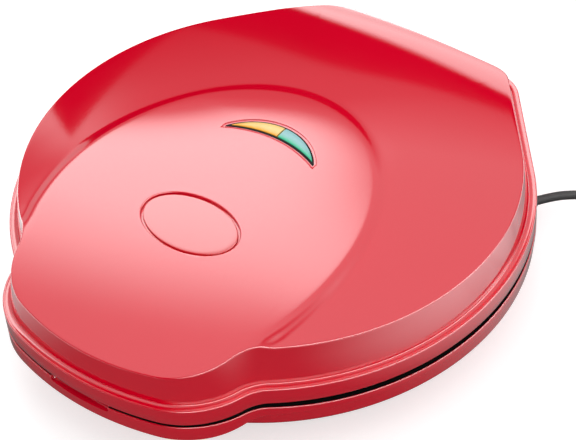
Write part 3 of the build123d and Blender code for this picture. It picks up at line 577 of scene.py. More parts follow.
def joined(pieces, name, body=None):
    """One piece from several, which may lie apart."""
    deselect_all()
    for piece in pieces:
        piece.select_set(True)
    bpy.context.view_layer.objects.active = pieces[0]
    if len(pieces) > 1:
        bpy.ops.object.join()
    return new_piece(name, body)


def turned_at(places, name, profile, segments=32):
    """One turned piece, copied to several places and joined."""
    first = turned("one_of_" + name, (0.0, 0.0), profile, segments)
    copies = [copied(first, "copy_of_" + name, Matrix.Translation((*place, 0.0))) for place in places]
    bpy.data.objects.remove(first)
    return joined(copies, name)


def around(radius, angles):
    return [(radius * cos(radians(a)), radius * sin(radians(a)) + plate_y) for a in angles]


def in_mm(*pairs):
    return [(a * mm, b * mm) for a, b in pairs]


def quarter(steps):
    """Points round a rounded edge, as shares of its radius in from one face and from the other."""
    turns = [pi / 2 * k / steps for k in range(steps + 1)]
    return [(1 - cos(turn), 1 - sin(turn)) for turn in turns]


def level_loop(inset, z, lobe=True):
    return [(x, y, z) for x, y in outline(inset, lobe)]


def on_crown(points, drop=0.0):
    return [(x, y, parting_z + crown(x, y) - drop) for x, y in points]


def crown_loops(shape, pairs):
    """Loops that follow the crown, from pairs of how far the shape grows and how deep it lies."""
    return [on_crown(shape(grow), drop) for grow, drop in pairs]


def drawn_in(points, middle_y, share):
    """Points moved towards a middle on the centre line, to a share of their distance."""
    return [(x * share, middle_y + (y - middle_y) * share) for x, y in points]


# Lid

def wall_inset_at(height):
    return wall_inset + wall_draft * (height - wall_foot)


def lid_loops():
    bottom = parting_z + parting_half_gap
    ledge = bottom + skirt_height
    foot = bottom + wall_foot
    # Inside face, from the middle down to the rim
    inside = wall_inset + wall_metal
    inner = outline(inside + 2 * mm)
    loops = [on_crown(drawn_in(inner, crown_middle_y, k / inner_rows), wall_metal)
             for k in range(1, inner_rows + 1)]
    # Step over the skirt, rim and skirt
    pairs = [(inside, ledge), (inside, ledge - wall_metal), (wall_metal, ledge - wall_metal - 1 * mm),
             (wall_metal, bottom + 0.4 * mm), (wall_metal - 0.3 * mm, bottom), (0.5 * mm, bottom),
             (0.15 * mm, bottom + 0.15 * mm), (0.0, bottom + 0.5 * mm),
             (0.0, bottom + (skirt_height - skirt_round) / 2)]
    pairs += [(skirt_round * a, ledge - skirt_round * b) for a, b in quarter(fillet_rows)]
    # Ledge, dished, and fillet at the foot of the wall
    reach = wall_inset - ledge_fillet - skirt_round
    pairs += [(skirt_round + reach * share, ledge - 4 * ledge_dip * share * (1 - share))
              for share in (k / fillet_rows for k in range(1, fillet_rows))]
    pairs += [(wall_inset - ledge_fillet * b, ledge + (foot - ledge) * a)
              for a, b in quarter(fillet_rows)[:-1]] + [(wall_inset, foot)]
    loops += [level_loop(inset, z) for inset, z in pairs]
    # Wall, up to the rounded edge of the crown
    grid = {}

    def at(index, inset):
        """Point of the outline at an inset, with each inset worked out once."""
        key = round(inset, 6)
        if key not in grid:
            grid[key] = outline(key)
        return grid[key][index]

    tops = []
    for index, (x, y) in enumerate(outline(wall_inset_at(wall_foot + 12 * mm))):
        inset = round(wall_inset_at(crown(x, y) - parting_half_gap), 5)
        tops.append(on_crown([at(index, inset), at(index, inset + crown_round)]))
    for share in (0.3, 0.62, 1.0):
        heights = [foot + (top[2] - crown_round - foot) * share for top, inward in tops]
        loops.append([(*at(index, round(wall_inset_at(z - bottom), 5)), z)
                      for index, z in enumerate(heights)])
    wall_top = loops[-1]
    for k in range(1, edge_rows + 1):
        t = k / edge_rows
        loops.append([tuple((1 - t) ** 2 * a + 2 * t * (1 - t) * b + t * t * c
                            for a, b, c in zip(start, top, inward))
                      for start, (top, inward) in zip(wall_top, tops)])
    # Crown, in to the middle
    outer = [(x, y) for x, y, z in loops[-1]]
    return loops + [on_crown(drawn_in(outer, crown_middle_y, 1 - k / crown_rows))
                    for k in range(1, crown_rows)]


def crescent_outline(grow, count=48):
    """Loop round the window's crescent, anticlockwise, grown outwards, its tips cut or meeting."""
    outer = (window_half_length ** 2 + window_outer_rise ** 2) / (2 * window_outer_rise)
    inner = (window_half_length ** 2 + window_inner_rise ** 2) / (2 * window_inner_rise)
    outer_y = window_outer_rise - outer
    inner_y = window_inner_rise - inner
    big = outer + grow
    small = inner - grow
    apart = outer_y - inner_y
    cross = (small ** 2 - big ** 2 + apart ** 2) / (2 * apart)
    meet = sqrt(max(small ** 2 - cross ** 2, 0.0))
    half = min(window_half_length - window_tip_cut + grow, meet - 0.35 * mm)
    out_y = outer_y + sqrt(big ** 2 - half ** 2)
    in_y = inner_y + sqrt(small ** 2 - half ** 2)
    out_angle = atan2(out_y - outer_y, half)
    in_angle = atan2(in_y - inner_y, half)
    return (swept((0.0, outer_y), big, out_angle, pi - out_angle, count) + [(-half, out_y)]
            + swept((0.0, inner_y), small, pi - in_angle, in_angle, count) + [(half, in_y)])


def ellipse_outline(grow, count=128):
    return [((badge_half_length + grow) * cos(2 * pi * i / count),
             badge_y + (badge_half_width + grow) * sin(2 * pi * i / count)) for i in range(count)]


def badge_tool():
    """Cutter of the badge's seat, which opens in a rounded lip at the surface."""
    pairs = [(0.0, badge_depth)] + [(badge_lip * a, badge_lip * b) for a, b in quarter(5)]
    pairs += [(badge_lip + 0.6 * mm, -0.03 * mm), (badge_lip + 0.6 * mm, -6 * mm)]
    return skinned("badge_tool", crown_loops(ellipse_outline, pairs))


def window_tool():
    """Cutter of the window's opening with the shallow groove round it."""
    out, deep = window_groove_out, window_groove_depth
    pairs = [(0.0, 12 * mm), (0.0, deep), (out - 0.3 * mm, deep), (out, deep * 0.6),
             (out + 0.15 * mm, -0.4 * mm), (out + 0.15 * mm, -6 * mm)]
    return skinned("window_tool", crown_loops(crescent_outline, pairs))


def make_cheeks():
    """Blocks beside each hinge slot that hold the pin's ends, kept inside the rounded corners."""
    low = parting_z + parting_half_gap
    ledge = low + skirt_height - 0.6 * mm
    corner_x = block_half_width - block_corner_radius
    blocks = []
    for side in (-1, 1):
        for near in (side * ear_x - slot_half - cheek_width, side * ear_x + slot_half):
            past = max(0.0, abs(near) - corner_x, abs(near + cheek_width) - corner_x)
            shape = [(cheek_front + plate_y, low)]
            for inset, z in ((1.0 * mm, low), (1.0 * mm, ledge), (wall_inset + 0.6 * mm, ledge),
                             (wall_inset_at(cheek_top - low) + 0.6 * mm, cheek_top)):
                round_off = sqrt((block_corner_radius - inset) ** 2 - past ** 2)
                shape.append((rear_reach - block_corner_radius + round_off + plate_y, z))
            shape.append((cheek_front + plate_y, cheek_top))
            blocks.append(drawn("cheek", shape, near, near + cheek_width))
    return blocks


def make_lid():
    lid = skinned("lid_skin", lid_loops(), "lid")
    cut(lid, badge_tool())
    cut(lid, window_tool())
    fused(lid, make_cheeks())
    slots = [boxed("slot", (side * ear_x - slot_half, slot_front + plate_y, parting_z - over),
                   (side * ear_x + slot_half, rear_reach + plate_y + over, slot_top)) for side in (-1, 1)]
    cut(lid, joined(slots, "slot_tool"))
    return finished(lid, 32, "lid_shell")


# Base

def base_top_loop(inset, drop):
    """Loop along the base's top edge, which lies lower at the sides than at the front and rear."""
    def fall(y):
        return base_top_drop * smooth(*side_drop_y, y) * (1 - smooth(*rear_rise_y, y))

    return [(x, y, base_top - drop - fall(y)) for x, y in outline(inset)]


def lip_loop(inset, z, lobe=True):
    """Loop along the lip's lower edge, which reaches further down round the front lobe."""
    return [(x, y, z - lobe_lip_drop * (1 - smooth(*lobe_lip_y, y))) for x, y in outline(inset, lobe)]


def base_loops():
    lip_low = base_top - lip_height
    wall_low = lip_low - bowl_wall_height
    bottom, wall = bowl_bottom_inset, bowl_wall_inset
    inner = wall + wall_metal
    pairs = [(bottom + 1.2 * mm, foot_height), (bottom + 0.2 * mm, foot_height + 0.35 * mm),
             (bottom - 0.7 * mm, foot_height + 1.0 * mm)]
    pairs += [(bottom * (1 - share) + wall * share, foot_height + (wall_low - foot_height) * share)
              for share in (k / bowl_rows for k in range(1, bowl_rows))]
    pairs += [(wall + 1.3 * mm, wall_low - 1.2 * mm), (wall + 0.35 * mm, wall_low + 0.1 * mm),
              (wall, wall_low + 1.4 * mm)]
    loops = [level_loop(inset, z, False) for inset, z in pairs]
    loops += [lip_loop(wall - inset * mm, lip_low - drop * mm, False)
              for inset, drop in ((0.0, 0.5), (0.05, 0.1), (0.2, 0.0))]
    loops += [lip_loop(lip_round * b, lip_low + lip_round * a) for a, b in quarter(4)]
    loops += [base_top_loop(lip_round * a, lip_round * b) for a, b in quarter(4)]
    return loops + [base_top_loop(wall_metal - 0.3 * mm, 0.0), base_top_loop(wall_metal, 0.3 * mm),
                    lip_loop(wall_metal, lip_low + wall_metal),
                    lip_loop(inner, lip_low + wall_metal - 0.1 * mm, False),
                    level_loop(inner, wall_low, False),
                    level_loop(bottom + wall_metal, foot_height + wall_metal, False)]


def hinge_arc(radius, end, count):
    return [(hinge_y + plate_y + radius * cos(end * i / count), hinge_z + radius * sin(end * i / count))
            for i in range(count)]


def make_ears():
    """Lugs that carry the hinge pins."""
    ears = []
    for side in (-1, 1):
        middle = hinge_y + plate_y
        shape = [(middle + ear_radius, ear_low)] + hinge_arc(ear_radius, pi, 24)
        shape += [(middle - ear_radius, hinge_z), (middle - ear_radius, ear_low)]
        ear = drawn("ear", shape, side * ear_x - ear_half, side * ear_x + ear_half)
        bevelled(ear, 0.6 * mm, 3, 50)
        ears.append(ear)
    return ears


def make_finger_tool():
    """Shallow scoop for the fingers in the front lip, its floor falling outwards."""
    front = plate_y - front_reach - over
    back = plate_y - front_reach + finger_back
    floor = base_top - finger_height
    slope = [(front, floor - 1.0 * mm), (back - 1.0 * mm, floor + 1.2 * mm),
             (back, parting_z + 6 * mm), (front, parting_z + 6 * mm)]
    tool = drawn("finger_tool", slope, -finger_half_width, finger_half_width)
    modified(tool, "BEVEL", width=1.8 * mm, segments=5, limit_method="NONE")
    return tool


def make_base():
    base = skinned("base_skin", base_loops(), "base")
    top = base_top - 0.02 * mm
    front = plate_y - front_reach
    half = finger_half_width + wall_metal
    back = boxed("finger_back", (-half, front + 2 * mm, base_top - lip_height + 0.8 * mm),
                 (half, front + finger_block + wall_metal, top))
    half = block_half_width - 12 * mm
    shelf = boxed("shelf", (-half, shelf_y + plate_y, shelf_low),
                  (half, rear_reach - 1.2 * mm + plate_y, top))
    fused(base, [back, shelf])
    cut(base, drawn("roller", hinge_arc(sweep_radius, 2 * pi, 64), -block_half_width - over,
                    block_half_width + over))
    fused(base, make_ears())
    cut(base, make_finger_tool())
    # Screw posts that end inside the bowl, their bores, the feet's seats and the cord's hole
    places = around(base_screw_circle, corner_angles)
    posts = turned_at(places, "posts", [(post_radius, 6 * mm), (post_radius, 31 * mm)])
    within = 1.0 * mm
    wall = bowl_wall_inset + within
    pairs = [(bowl_bottom_inset + within, foot_height + within),
             (wall, base_top - lip_height - bowl_wall_height), (wall, base_top - 4 * mm)]
    outside = skinned("outside", [level_loop(inset, z, False) for inset, z in pairs])
    combined(posts, outside, "INTERSECT")
    fused(base, [posts])
    for radius, end in ((head_bore_radius, 23 * mm), (screw_bore_radius, 33 * mm)):
        cut(base, turned_at(places, "bores", [(radius, -1 * mm), (radius, end)]))
    cut(base, turned_at(around(foot_circle, corner_angles), "seats",
                        [(foot_seat_radius, 0.0), (foot_seat_radius, 9 * mm)]))
    hole = turned("relief_hole", (0.0, 0.0),
                  [(relief_hole_radius, -36 * mm), (relief_hole_radius, 10 * mm)])
    hole.data.transform(relief_matrix())
    cut(base, hole)
    return finished(base, 32, "base_shell")


def make_trim():
    """Black bead between the two halves, on the base's top edge: painted shade, standing where the gap lies
    in shade, without gloss so it stays black.
    """
    loops = [base_top_loop(inset, drop) for inset, drop in
             ((3.2 * mm, 0.4 * mm), (trim_inset + 0.1 * mm, 0.05 * mm), (trim_inset, -0.05 * mm))]
    loops += [level_loop(inset, trim_top - drop) for inset, drop in
              ((trim_inset, 0.3 * mm), (trim_inset + 0.3 * mm, 0.0), (3.2 * mm, 0.0))]
    trim = skinned("base_trim", loops, "base", ring=True)
    low, high = base_top - over, parting_z + over
    half = finger_half_width + 0.3 * mm
    cut(trim, boxed("trim_back", (-block_half_width, slot_front + plate_y - 1 * mm, low),
                    (block_half_width, rear_reach + plate_y + over, high)))
    cut(trim, boxed("trim_front", (-half, plate_y - front_reach - over, low),
                    (half, plate_y - front_reach + finger_block, high)))
    smoothed(trim, 40)
    return trim


# Window and badge

def lens_edge(inset):
    return [(x, y + lens_shift) for x, y in crescent_outline(-bezel_edge - inset)]


def make_bezel():
    """Dark frame in the window, wider on its front side, where the extra black band is painted shade
    standing for a shaded gap.
    """
    loops = crown_loops(crescent_outline, in_mm((-0.1, 4.8), (-0.1, 0.4), (-0.35, 0.18)))
    loops += crown_loops(lens_edge, in_mm((-0.35, 0.18), (-0.1, 0.4), (-0.1, 4.8)))
    return finished(skinned("window_frame", loops, "lid", ring=True), 50, "window_bezel")


def make_lens(name, side, node):
    """One half of the domed crescent lens, split at its middle."""
    dome = in_mm((0.0, 3.4), (0.0, 0.3), (0.12, 0.14), (0.35, 0.02), (0.8, -0.1), (1.6, -0.2),
                 (2.6, -0.26), (3.6, -0.28))
    lens = skinned(name, crown_loops(lens_edge, dome), "lid")
    edit_all(lens)
    bpy.ops.mesh.quads_convert_to_tris()
    bpy.ops.mesh.bisect(plane_co=(side * lens_half_gap, 0.0, 0.0), plane_no=(side, 0.0, 0.0), use_fill=True,
                        clear_inner=True, clear_outer=False)
    face_outwards()
    return finished(lens, 40, node)


def make_badge():
    """Bare oval plate with a rounded rim."""
    rim = in_mm((0.0, 1.9), (0.0, 0.95), (0.06, 0.75), (0.2, 0.6), (0.42, 0.52))
    loops = crown_loops(ellipse_outline, [(-badge_groove - inset, drop) for inset, drop in rim])
    face = ellipse_outline(-badge_groove - 0.7 * mm)
    loops += [on_crown(drawn_in(face, badge_y, 1 - k / 12), 0.5 * mm) for k in range(12)]
    return finished(skinned("badge_oval", loops, "lid"), 40, "badge_plaque")


# Plates, screws and feet

def make_plate(side):
    """Pressed pan with a flat rim, rounded inside, and its bosses behind."""
    body, word = ("lid", "upper") if side > 0 else ("base", "lower")
    back = plate_gap + plate_metal
    floor = plate_gap + pan_depth

    def level(depth):
        return parting_z + side * depth

    def stubs(circle, angles, radius, low, high):
        profile = [(radius, z) for z in sorted((level(low), level(high)))]
        return turned_at(around(circle, angles), "stubs", profile)

    profile = []
    for radius, depth, steps in (
            (pan_floor_radius, floor, ((1.6, 3.0),)),
            (0.0, floor, ((149.4, 2.5),)),
            (0.0, back, ((152.3, 1.0), (152.9, 0.25), (153.6, 0.0))),
            (plate_radius, back, ((-0.9, 0.0), (-0.25, -0.3), (0.0, -0.9))),
            (plate_radius, plate_gap, ((0.0, 0.8), (-0.25, 0.25), (-0.8, 0.0))),
            (pan_radius, plate_gap, ((1.6, 0.0), (0.7, 0.2), (-0.1, 0.9), (-0.6, 1.9))),
            (pan_floor_radius, floor, ((0.9, -2.6), (-0.1, -1.1), (-1.6, -0.25), (-3.4, 0.0),
                                       (-20.0, 0.0)))):
        profile += [(radius + a, level(depth + b)) for a, b in in_mm(*steps)]
    plate = turned("pan", (0.0, plate_y), profile, 192)
    fused(plate, [stubs(boss_circle, boss_angles, boss_radius, back - 0.5 * mm, back + 2.9 * mm),
                  stubs(standoff_circle, standoff_angles, standoff_radius, floor + 2.5 * mm,
                        reflector_depth - 0.1 * mm)])
    named(plate, word + "_pan")
    tied(plate, body)
    return finished(plate, 35, word + "_plate")


def make_screw(radius, length, countersunk=False):
    """Screw pointing up from the middle of its bearing face, with a cross slot in its head."""
    if countersunk:
        face = 0.0
        profile = [(radius - 0.1 * mm, 0.0), (radius, 0.12 * mm), (screw_radius, head_height)]
    else:
        face = -head_height
        profile = [(radius * share, face * deep) for share, deep in
                   ((0.45, 1.0), (0.75, 0.93), (0.93, 0.72), (1.0, 0.4))]
        profile += [(radius, -0.1 * mm), (radius - 0.1 * mm, 0.0), (screw_radius, 0.02 * mm)]
    profile += [(screw_radius, length - 1 * mm), (0.5 * mm, length)]
    screw = turned("screw", (0.0, 0.0), profile, 40)
    for wide, deep in in_mm((2.0, 0.42), (0.42, 2.0)):
        cut(screw, boxed("slot", (-wide, -deep, face - 1 * mm), (wide, deep, face + 1.3 * mm)))
    smoothed(screw, 35)
    return screw


def place_screws(name, screw, places, z, side, body, node):
    """Copies of a screw at several places: side 1 points up and side -1 points down."""
    flip = Matrix.Identity(4) if side > 0 else Matrix.Rotation(pi, 4, "X")
    copies = []
    for number, place in enumerate(places):
        turn = Matrix.Rotation(radians(screw_turns[number % len(screw_turns)]), 4, "Z")
        copies.append(copied(screw, "one_screw", Matrix.Translation((*place, z)) @ flip @ turn))
    bpy.data.objects.remove(screw)
    piece = joined(copies, name, body)
    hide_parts(node)
    return piece


def make_screws():
    lid_places = [(x * mm, y * mm + plate_y) for x, y in lid_screws]
    pieces = [place_screws("lid_frame_screws", make_screw(head_radius, 14 * mm, True), lid_places,
                           parting_z + parting_half_gap, 1, "lid", "lid_screws"),
              place_screws("bottom_screws", make_screw(head_radius, 14 * mm),
                           around(base_screw_circle, corner_angles), parting_z - 23.1 * mm, 1, "base",
                           "base_screws")]
    for side, body, word in ((1, "lid", "upper"), (-1, "base", "lower")):
        for kind, node, radius, length, circle, angles, depth in (
                ("_pan_screws", "_plate_screws", washer_radius, 4.7 * mm, boss_circle, boss_angles,
                 plate_gap + plate_metal + 3.2 * mm),
                ("_shield_screws", "_reflector_screws", head_radius, 10.5 * mm, standoff_circle,
                 standoff_angles, reflector_depth + 0.9 * mm)):
            pieces.append(place_screws(word + kind, make_screw(radius, length), around(circle, angles),
                                       parting_z + side * depth, -side, body, word + node))
    return pieces


def make_feet():
    """Rubber pads with a shallow hollow underneath."""
    profile = in_mm((3.0, 0.9), (7.0, 0.8), (7.8, 0.1), (8.2, 0.0), (9.4, 0.0), (9.9, 0.25), (10.2, 0.8),
                    (10.8, 4.2), (10.6, 4.75), (10.1, 4.96), (3.5, 4.98), (3.5, 8.0), (3.0, 8.5))
    feet = turned_at(around(foot_circle, corner_angles), "rubber_feet", profile, 64)
    tied(feet, "base")
    return finished(feet, 40, "feet")


# Cord, strain relief and plug

def coil_path():
    """Four turns, two below and two above, then a quarter turn to the plug."""
    turns = [(coil_outer, coil_low_z), (coil_inner, coil_low_z), (coil_inner, coil_high_z),
             (coil_outer, coil_high_z), (coil_outer, coil_high_z)]
    spread = 1 / (0.75 + 0.25 * cos(2 * pi / coil_points))
    points = []
    for k in range(1, 4 * coil_points + coil_points // 4):
        turn, step = divmod(k, coil_points)
        radius, z = turns[turn]
        if turn > 0 and step < coil_change:
            share = (step + 0.5) / coil_change
            before = turns[turn - 1]
            radius = before[0] + (radius - before[0]) * share
            z = before[1] + (z - before[1]) * share
        angle = pi / 2 - 2 * pi * k / coil_points
        points.append((coil_centre[0] + radius * spread * cos(angle),
                       coil_centre[1] + radius * spread * sin(angle), z))
    return points


def make_cord():
    points = [(x * mm, y * mm, z * mm) for x, y, z in cord_route]
    points += [(coil_centre[0], coil_centre[1] + coil_outer, coil_low_z)] + coil_path()
    points += [(coil_centre[0] + coil_outer, coil_centre[1] - back, coil_high_z)
               for back in (0.0, plug_stub / 2, plug_stub)]
    data = bpy.data.curves.new("mains_cord_run", "CURVE")
    data.dimensions = "3D"
    data.bevel_depth = 1.0
    data.bevel_resolution = 8
    data.use_fill_caps = True
    spline = data.splines.new("NURBS")
    spline.points.add(len(points) - 1)
    for point, (x, y, z) in zip(spline.points, points):
        point.co = (x, y + plate_y, z, 1.0)
        point.radius = cord_diameter / 2
    spline.order_u = 3
    spline.use_endpoint_u = True
    spline.resolution_u = 6
    cord = linked("mains_cord_run", data)
    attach(cord, "base")
    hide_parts("mains_cord", "cord_coil")
    return cord


def relief_matrix():
    """Takes a piece made along Z to the strain relief's axis, its tip at the origin's place."""
    way = Vector((cos(exit_angle), sin(exit_angle), 0.0))
    place = Matrix.Translation((relief_tip[0], relief_tip[1] + plate_y, relief_tip[2]))
    return place @ way.to_track_quat("Z", "Y").to_matrix().to_4x4()


def make_relief():
    """Tapered sleeve with ribs and a flange inside the housing."""
    profile = [(3.2, -36.0), (6.3, -36.0), (6.5, -35.8), (6.5, -34.2), (6.3, -34.0), (5.0, -34.0),
               (5.0, -22.4)]
    for k in range(6):
        start = -20.0 + 18.2 * k / 6
        radius = 5.0 - 0.16 * k
        profile += [(radius - less, start + step) for less, step in
                    ((0.0, 0.0), (0.0, 1.7), (0.25, 1.95), (0.85, 2.1), (0.85, 2.75), (0.35, 2.9))]
    profile += [(4.0, -1.8), (4.0, -0.5), (3.7, -0.1), (3.3, 0.0)]
    relief = turned("relief_sleeve", (0.0, 0.0), in_mm(*profile), 48)
    relief.data.transform(relief_matrix())
    tied(relief, "base")
    return finished(relief, 35, "strain_relief")


def make_tie():
    """Flat band round the coil with its overlapping end."""
    x = coil_centre[0]
    y = coil_centre[1] - (coil_outer + coil_inner) / 2 + plate_y
    z = (coil_low_z + coil_high_z) / 2
    half, wide, tall = tie_half_size
    band = boxed("band", (x - half, y - wide, z - tall), (x + half, y + wide, z + tall))
    shaped(band, lambda way: abs(way.x) > half, 1.6 * mm, 5, lambda normal: abs(normal.x) > 0.9)
    modified(band, "SOLIDIFY", thickness=tie_thickness, offset=1.0)
    bevelled(band, 0.25 * mm, 2)
    tail = boxed("band_end", (x - half + 0.3 * mm, y - 3 * mm, z + tall + 0.65 * mm),
                 (x + half - 0.3 * mm, y + 4.5 * mm, z + tall + 0.78 * mm))
    return finished(joined([band, tail], "coil_band", "base"), 40, "cord_tie")


def make_plug():
    """Moulded three-pin plug with a waisted grip and a ribbed neck."""
    x = coil_centre[0] + coil_outer
    back = coil_centre[1] - plug_stub + plate_y - plug_neck_length
    half = plug_width / 2
    end = back - plug_length + 2 * mm
    shape = [(x - half + 3 * mm, back), (x + half - 3 * mm, back), (x + half, back - 10 * mm),
             (x + half, end), (x - half, end), (x - half, back - 10 * mm)]
    body = drawn("plug_block", shape, 0.0, plug_thickness, upright=True)
    shaped(body, lambda way: abs(way.z) > 1 * mm, 7.0 * mm, 8)
    bevelled(body, 2.2 * mm, 5)
    neck = [(5.0, -1.0), (5.0, 1.5)]
    for k in range(5):
        start = 1.8 + 2.3 * k
        ridge = 5.0 - 0.1 * k
        neck += [(4.2, start), (4.2, start + 0.6), (ridge, start + 0.8), (ridge, start + 1.9)]
    neck += [(4.4, 13.7), (3.3, 14.0)]
    sleeve = turned("plug_neck", (0.0, 0.0), in_mm(*neck), 40)
    sleeve.data.transform(Matrix.Translation((x, back, coil_high_z)) @ Matrix.Rotation(-pi / 2, 4, "X"))
    return finished(joined([body, sleeve], "mains_plug", "base"), 35, "plug_body")


def make_pins():
    x = coil_centre[0] + coil_outer
    middle = coil_centre[1] - plug_stub + plate_y - plug_neck_length - plug_length / 2
    pins = []
    for dx, dy, wide, deep in pin_sizes:
        cx, cy = x + dx * mm, middle + dy * mm
        pin = boxed("pin", (cx - wide / 2 * mm, cy - deep / 2 * mm, plug_thickness - 1 * mm),
                    (cx + wide / 2 * mm, cy + deep / 2 * mm, plug_thickness + pin_length))
        bevelled(pin, 0.9 * mm, 3)
        pins.append(pin)
    return finished(joined(pins, "mains_pins", "base"), 40, "plug_pins")


# Materials

class Signal:
    """A value or colour in a material, which can be added, multiplied and so on."""

    def __init__(self, look, socket):
        self.look = look
        self.socket = socket

    def _math(self, operation, first, second):
        return self.look.node("ShaderNodeMath", {"operation": operation}, {0: first, 1: second})

    def __add__(self, other):
        return self._math("ADD", self, other)

    __radd__ = __add__

    def __mul__(self, other):
        return self._math("MULTIPLY", self, other)

    __rmul__ = __mul__

    def __sub__(self, other):
        return self._math("SUBTRACT", self, other)

    def __rsub__(self, other):
        return self._math("SUBTRACT", other, self)


class Look:
    """A node material built by naming nodes, their settings and their inputs."""

    def __init__(self, name, tree=None):
        if tree is None:
            self.material = bpy.data.materials.new(name)
            self.material.use_nodes = True
            tree = self.material.node_tree
        self.tree = tree
        self.tree.nodes.clear()

    def node(self, kind, settings=None, inputs=None, output=0):
        made = self.tree.nodes.new(kind)
        for key, value in (settings or {}).items():
            if key == "stops":
                ramp = made.color_ramp
                while len(ramp.elements) < len(value):
                    ramp.elements.new(1.0)
                for element, (place, level) in zip(ramp.elements, value):
                    element.position = place
                    element.color = (level, level, level, 1.0)
            else:
                setattr(made, key, value)
        for key, value in (inputs or {}).items():
            if isinstance(value, Signal):
                self.tree.links.new(value.socket, made.inputs[key])
            else:
                made.inputs[key].default_value = value
        return Signal(self, made.outputs[output]) if made.outputs else made

    def place(self):
        return self.node("ShaderNodeTexCoord", output="Object")

    def ray_is(self, kind):
        """1 for rays of a kind and 0 for all others."""
        return self.node("ShaderNodeLightPath", output="Is " + kind + " Ray")

    def noise(self, scale, detail=2.0, roughness=0.5):
        return self.node("ShaderNodeTexNoise", {}, {"Vector": self.place(), "Scale": scale,
                                                    "Detail": detail, "Roughness": roughness})

    def between(self, share, first, second):
        return self.node("ShaderNodeMix", {"data_type": "RGBA"}, {0: share, 6: (*first, 1.0),
                                                                  7: (*second, 1.0)}, output=2)

    def vector(self, operation, inputs, output=0):
        return self.node("ShaderNodeVectorMath", {"operation": operation}, inputs, output)

    def dot(self, value, way):
        return self.vector("DOT_PRODUCT", {0: value, 1: tuple(way)}, "Value")

    def stretch(self, value, low, high, kind="LINEAR", start=0.0, end=1.0):
        """Runs from start to end as a value goes from low to high."""
        return self.node("ShaderNodeMapRange", {"interpolation_type": kind},
                         {0: value, 1: low, 2: high, 3: start, 4: end})

    def exponent(self, value):
        return self.node("ShaderNodeMath", {"operation": "EXPONENT"}, {0: value})

    def bump(self, height, distance, edge=0.0):
        """Relief in metres, over edges that look rounded by a radius."""
        inputs = {"Height": height, "Distance": distance}
        if edge:
            inputs["Normal"] = self.node("ShaderNodeBevel", {"samples": 6}, {"Radius": edge})
        return self.node("ShaderNodeBump", {}, inputs)

    def finish(self, **inputs):
        """Principled surface with these inputs, underscores standing for spaces."""
        spaced = {key.replace("_", " "): value for key, value in inputs.items()}
        shader = self.node("ShaderNodeBsdfPrincipled", {}, spaced)
        self.node("ShaderNodeOutputMaterial", {}, {"Surface": shader})
        return self.material


def red_gloss(name="red_gloss", deep=(0.65, 0.0, 0.015), pale=(0.72, 0.0, 0.021)):
    look = Look(name)
    tone = look.between(look.noise(9.0), deep, pale)
    peel = look.noise(420.0)
    haze = look.noise(60.0, 4.0, 0.6)
    return look.finish(Base_Color=tone, Roughness=haze * 0.04 + 0.08, IOR=1.5, Coat_Weight=1.0,
                       Coat_Roughness=0.03, Coat_IOR=1.5, Normal=look.bump(peel, 0.00002))


def satin_plastic(name, shade, roughness, grain=1400.0, specular=0.5):
    look = Look(name)
    tone = look.between(look.noise(30.0), shade, tuple(min(1.0, c * 1.18 + 0.002) for c in shade))
    fine = look.noise(grain, 3.0, 0.6)
    return look.finish(Base_Color=tone, Roughness=fine * 0.12 + (roughness - 0.06), IOR=1.48,
                       Specular_IOR_Level=specular, Normal=look.bump(fine, 0.00004, 0.0004))


def metal(name, shade, roughness):
    look = Look(name)
    streak = look.noise(900.0, 3.0)
    tone = look.between(streak, tuple(c * 0.88 for c in shade), shade)
    return look.finish(Base_Color=tone, Metallic=1.0, Roughness=streak * 0.14 + (roughness - 0.07),
                       Normal=look.bump(streak, 0.00001, 0.0002))


def clear_plastic(name, deep, pale, glow):
    """Ribbed clear plastic, its colour strongest along the window's front edge, with a faint painted glow
    in the same colour.
    """
    look = Look(name)
    inner = (window_half_length ** 2 + window_inner_rise ** 2) / (2 * window_inner_rise)
    flat = look.vector("MULTIPLY", {0: look.place(), 1: (1.0, 1.0, 0.0)})
    away = look.vector("SUBTRACT", {0: flat, 1: (0.0, window_inner_rise - inner + plate_y, 0.0)})
    reach = look.vector("LENGTH", {0: away}, "Value")
    rib = look.node("ShaderNodeTexVoronoi", {}, {"Vector": look.place(), "Scale": 700.0})
    cloud = look.noise(140.0)
    share = look.stretch(reach - inner + cloud * 0.002, 0.0018, 0.0075, "SMOOTHSTEP")
    tone = look.between(share * 0.9 + rib * 0.15, deep, pale)
    # Painted glow: the lens emits its own colour
    return look.finish(Base_Color=tone, Roughness=0.18, IOR=1.45, Specular_IOR_Level=0.35,
                       Emission_Color=tone, Emission_Strength=glow, Normal=look.bump(rib, 0.00006))


def dressed(piece, look):
    piece.data.materials.clear()
    piece.data.materials.append(look)


